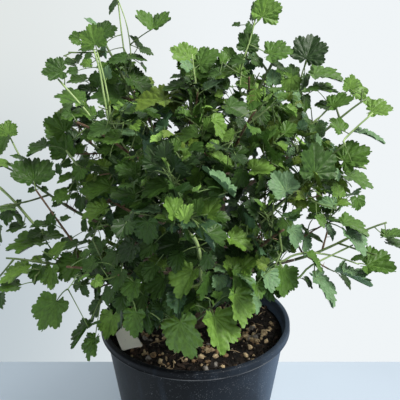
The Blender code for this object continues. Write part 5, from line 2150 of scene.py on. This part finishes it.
@dataclass
class Compost:
    """The potting compost: a lumpy top on a closed body, strewn with bark, stones, crumbs and straw.

    A heap of stones is its middle's x and y, its spread and how many stones it has. sunk is how
    high a bit's middle lies, against its height.
    """

    rings: int = 74
    sides: int = 220
    lump: float = 0.0026
    seed: int = 31
    edge: float = wall_radius(SOIL_LEVEL) - WALL
    sunk: float = 0.22
    straws: int = 46
    straw_seed: int = 44
    straw_inner: float = 0.03
    straw_halves: tuple[float, float] = (0.004, 0.011)
    straw_radii: tuple[float, float] = (0.0003, 0.0007)
    straw_taper: tuple[float, ...] = (0.5, 1, 1, 1, 0.4)
    straw_lift: float = 0.0016
    straw_bow: float = 0.0008
    heaps: tuple = ((0.074, -0.032, 0.013, 34), (-0.055, -0.058, 0.018, 10), (0.004, -0.077, 0.014, 14))

    def top(self, radius: Array, turn: Array) -> Array:
        """Points of the top: level, a low mound in the middle, lumps of three sizes, sunk at the wall.

        Args:
            radius: distance from the axis.
            turn: angle about it.

        Returns:
            The points, (..., 3).
        """
        edge = self.edge - GAP
        mound = SOIL_MOUND * np.clip((0.060 - radius) / 0.034, 0, 1)
        spot = around(radius, turn, 0.0)
        sizes = enumerate(((1.0, 60.0), (0.55, 170.0), (0.30, 420.0)))
        lumps = sum(share * lattice_noise(spot * scale, self.seed + i) for i, (share, scale) in sizes)
        calm = np.clip((radius - 0.016) / 0.02, 0.15, 1) * np.clip((edge - radius) / 0.006, 0.25, 1)
        sunk = 0.0015 * np.clip((radius - edge + 0.012) / 0.012, 0, 1)
        return around(radius, turn, SOIL_LEVEL + mound + self.lump * lumps * calm - sunk)

    def build(self) -> None:
        """Makes the compost's body and everything that lies on it."""
        turn = turns(self.sides)
        radius = (self.edge - GAP) * np.linspace(0, 1, self.rings + 1)[1:, None] ** 0.9
        heights = np.array([0.12, 0.06, FLOOR + GAP, FLOOR + GAP])[:, None]
        under = np.array([*(wall_radius(h) - WALL - GAP for h in heights[:3, 0]), 0.05])[:, None]
        rings = np.concatenate([self.top(radius, turn), around(under, turn, heights)])
        peak = self.top(np.zeros(1), np.zeros(1))
        points = np.concatenate([rings.reshape(-1, 3), peak, [[0, 0, FLOOR + GAP]]])
        mesh = Pile().add(points, tube_faces(len(rings), self.sides)).mesh("compost")
        place_piece(mesh, PAINTS.get(SoilFinish()), "potting_soil", "soil")
        for grit in GRITS:
            self.strew(grit)
        self.lay_straw()

    def scatter(self, count: int, seed: int, inner: float = 0.022) -> tuple[Array, np.random.Generator]:
        """Seeded places on the compost's top, even over its area.

        Args:
            count: how many.
            seed: which places.
            inner: how near the stem they may come.

        Returns:
            The places, (count, 3), and the generator for more chance.
        """
        chance = np.random.default_rng(seed)
        radius = np.sqrt(chance.uniform(inner**2, (self.edge - 0.005) ** 2, count))
        return self.top(radius, chance.uniform(0, 2 * np.pi, count)), chance

    def heap_up(self, spots: Array, chance: np.random.Generator) -> Array:
        """Moves the first spots into the heaps: each lies about a heap's middle by normal chance.

        Args:
            spots: the places, (n, 3).
            chance: the generator.

        Returns:
            The places.
        """
        heap = np.repeat(np.array([row[:3] for row in self.heaps]), [row[3] for row in self.heaps], axis=0)
        x, y = (heap[:, :2] + heap[:, 2:] * chance.normal(0, 1, (len(heap), 2))).T
        radius = np.minimum(np.hypot(x, y), wall_radius(SOIL_LEVEL) - 0.012)
        return np.concatenate([self.top(radius, np.arctan2(y, x)), spots[len(heap) :]])

    def strew(self, grit: Grit) -> None:
        """Strews one kind of bit over the top: copies of it, each knocked, leant, turned and sunk a little.

        Args:
            grit: the kind.
        """
        count, corners = grit.count, len(grit.points)
        spots, chance = self.scatter(count, grit.seed)
        if grit.name == "stones":
            spots = self.heap_up(spots, chance)
        length = chance.uniform(*grit.span, count)
        wide = length * grit.wide * chance.uniform(0.7, 1.1, count)
        sizes = np.stack([length, wide, length * grit.thick], -1)
        spots = spots + np.array([0, 0, 1.0]) * (sizes[:, 2:3] * self.sunk)
        shape = np.array(grit.points, float)[None]
        shape = (shape + chance.uniform(-grit.jitter, grit.jitter, (count, corners, 3))) * sizes[:, None, :]
        turn, lean = chance.uniform(0, 2 * np.pi, (count, 1)), chance.normal(0, grit.tilt, (count, 1))
        x, y, z = shape[..., 0], shape[..., 1], shape[..., 2]
        x, z = np.cos(lean) * x + np.sin(lean) * z, -np.sin(lean) * x + np.cos(lean) * z
        x, y = np.cos(turn) * x - np.sin(turn) * y, np.sin(turn) * x + np.cos(turn) * y
        points = np.stack([x, y, z], -1) + spots[:, None, :]
        faces = np.array(grit.faces) + (np.arange(count) * corners)[:, None, None]
        slots = np.repeat(chance.choice(3, count, p=grit.shares), len(grit.faces))
        pile = Pile().add(points, [faces.reshape(-1, faces.shape[-1])], None, slots)
        place_piece(pile.mesh(grit.name, grit.smooth), PAINTS.get(*grit.finishes), "potting_soil")

    def lay_straw(self) -> None:
        """Makes slivers of straw and fine roots that lie over the lumps."""
        spots, chance = self.scatter(self.straws, self.straw_seed, self.straw_inner)
        turn = chance.uniform(0, 2 * np.pi, len(spots))
        half = chance.uniform(*self.straw_halves, len(spots))
        t = np.linspace(-1, 1, len(self.straw_taper))
        x = spots[:, :1] + half[:, None] * t * np.cos(turn)[:, None]
        y = spots[:, 1:2] + half[:, None] * t * np.sin(turn)[:, None]
        shrink = np.minimum(1, (self.edge - 0.002) / np.hypot(x, y))
        z = spots[:, 2:3] + self.straw_lift + self.straw_bow * np.cos(3 * t)
        paths = np.stack([x * shrink, y * shrink, z], -1)
        radii = chance.uniform(*self.straw_radii, (len(spots), 1)) * np.array([self.straw_taper])
        place_piece(Pile().add(*sweep(paths, radii, 5)).mesh("straw"), PAINTS.get(STRAW), "potting_soil")


@dataclass
class Label:
    """The blank card: a thin plate with one pointed end, slightly curled, on the compost."""

    length: float = 0.056
    width: float = 0.026
    point: float = 0.012
    thickness: float = 0.0008
    place: tuple[float, float] = (-0.088, -0.038)
    turn: float = math.radians(112)
    curl: float = 0.0030
    lift: float = 0.0034
    steps: int = 30
    columns: int = 9

    def build(self) -> None:
        """Makes the card: half its width at a share along it is full, then narrows to the point."""
        end, columns = self.length / 2, self.columns
        x = np.linspace(-end, end - 0.0006, self.steps)[:, None]
        corner = np.clip((x + end) / 0.003, 0, 1)
        taper = np.where(x > end - self.point, np.clip((end - x) / self.point, 0, 1), 1)
        across = np.linspace(-1, 1, columns)
        y = self.width / 2 * taper * (0.85 + 0.15 * np.sqrt(corner)) * across
        z = SOIL_LEVEL + self.lift + (self.curl * (x / end) ** 2 + 0.0009 * (1 - across**2))
        cos, sin = math.cos(self.turn), math.sin(self.turn)
        world = np.stack([self.place[0] + cos * x - sin * y, self.place[1] + sin * x + cos * y, z], -1)
        row, column = np.meshgrid(np.arange(self.steps - 1) * columns, np.arange(columns - 1), indexing="ij")
        here = (row + column).reshape(-1)
        quads = np.stack([here, here + columns, here + columns + 1, here + 1], -1)
        mesh = Pile().add(world, [quads]).mesh("label_card")
        piece = place_piece(mesh, PAINTS.get(LabelFinish()), "label_plastic", "label")
        solid = piece.modifiers.new("card", "SOLIDIFY")
        solid.thickness, solid.offset = self.thickness, 0.0
        soft = piece.modifiers.new("edge", "BEVEL")
        soft.width, soft.segments, soft.limit_method = 0.00018, 2, "ANGLE"


@dataclass
class Studio:
    """Table, pale wall, light and camera. None of it belongs to the plant.

    A lamp is its name, its place, its size, its power in watts and its colour.
    """

    table_back: float = 0.172
    table_top: float = -0.0002
    reach: float = 6.0
    sensor: float = 36.0
    aim: Triple = (0, 0, 0.3)
    wall_low_left: Triple = (0.50, 0.57, 0.61)
    wall_high_left: Triple = (0.75, 0.79, 0.78)
    wall_right: Triple = (0.87, 0.91, 0.93)
    room: Triple = (0.24, 0.25, 0.27)
    # The table's colours at its two ends: painted light to the left, painted shade to the right
    table_painted_light_left: Triple = (0.64, 0.74, 0.84)
    table_painted_shade_right: Triple = (0.43, 0.50, 0.58)
    lamps: tuple = (
        ("key_light", (1.3, -0.8, 1.9), 0.9, 66.0, (1.0, 0.98, 0.94)),
        ("side_light", (-1.6, -0.9, 1.3), 1.4, 4.5, (0.92, 0.96, 1.0)),
        ("front_light", (0.15, -1.35, 1.15), 0.7, 4.5, (1.0, 0.99, 0.96)),
    )

    def build(self) -> None:
        """Makes the table, the wall, the lights and the camera."""
        far, back, top = self.reach, self.table_back, self.table_top
        corners = np.array([(-far, -far, top), (far, -far, top), (far, back, top), (-far, back, top)])
        mesh = Pile().add(corners, [np.array([(0, 1, 2, 3)])]).mesh("table", False)
        table = bpy.data.objects.new("table", mesh)
        bpy.context.scene.collection.objects.link(table)
        recipe = Recipe("table_top")
        cloudy = recipe.span(recipe.noise(3.0, 2.0), 0.3, 0.7, -0.06, 0.06)
        # Painted light and shade: the top runs from lighter at the left to darker at the right, tuned against
        # the lamps' light on it
        share = recipe.work("ADD", recipe.span(recipe.axis("X"), -0.35, 0.35), cloudy)
        colour = recipe.blend(share, self.table_painted_light_left, self.table_painted_shade_right)
        mesh.materials.append(recipe.surface(colour, 0.5, 0.3))
        self.paint_wall()
        self.light_up()
        self.set_camera()

    def paint_wall(self) -> None:
        """Sets a pale wall all round, by direction: it blends upwards, to the right and to a room behind."""
        recipe, colour = Recipe("studio", True), self.wall_low_left
        for axis, low, high, other in (
            ("Z", -0.45, 0.15, self.wall_high_left),
            ("X", -0.50, 0.12, self.wall_right),
            ("Y", 0.35, -0.25, self.room),
        ):
            ends = {"Value": recipe.axis(axis), "From Min": low, "From Max": high}
            share = recipe.node("MapRange", "Result", ends, interpolation_type="SMOOTHSTEP")
            colour = recipe.blend(share, colour, other)
        recipe.feed(recipe.shader.inputs["Color"], colour)
        bpy.context.scene.world = recipe.made

    def light_up(self) -> None:
        """Hangs a broad lamp at the upper right and two weak ones."""
        for name, spot, size, energy, tone in self.lamps:
            lamp = bpy.data.lights.new(name, "AREA")
            lamp.size, lamp.energy, lamp.color = size, energy, tone
            made = bpy.data.objects.new(name, lamp)
            made.location = spot
            made.rotation_euler = (Vector(self.aim) - Vector(spot)).to_track_quat("-Z", "Y").to_euler()
            bpy.context.scene.collection.objects.link(made)

    def set_camera(self) -> None:
        """Sets the camera at the photo's viewing angle."""
        lens = bpy.data.cameras.new("photo_camera")
        lens.sensor_width = self.sensor
        lens.lens = PHOTO.focal / FRAME * self.sensor
        camera = bpy.data.objects.new("photo_camera", lens)
        camera.location = PHOTO.place
        camera.rotation_euler = (math.pi / 2 - PHOTO.tilt, 0.0, 0.0)
        bpy.context.scene.collection.objects.link(camera)
        bpy.context.scene.camera = camera
        bpy.context.scene.view_settings.view_transform = "Standard"


def main() -> None:
    """Builds the plant piece by piece over its solids."""
    logging.basicConfig(level=logging.INFO, format="%(name)s: %(message)s")
    Studio().build()
    Pot().build()
    Compost().build()
    Label().build()
    skeleton = Skeleton()
    skeleton.grow()
    Limbs(skeleton).build()
    foliage = Foliage(skeleton)
    foliage.grow()
    foliage.build()
    bpy.context.view_layer.update()
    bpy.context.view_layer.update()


if __name__ == "__main__":
    main()
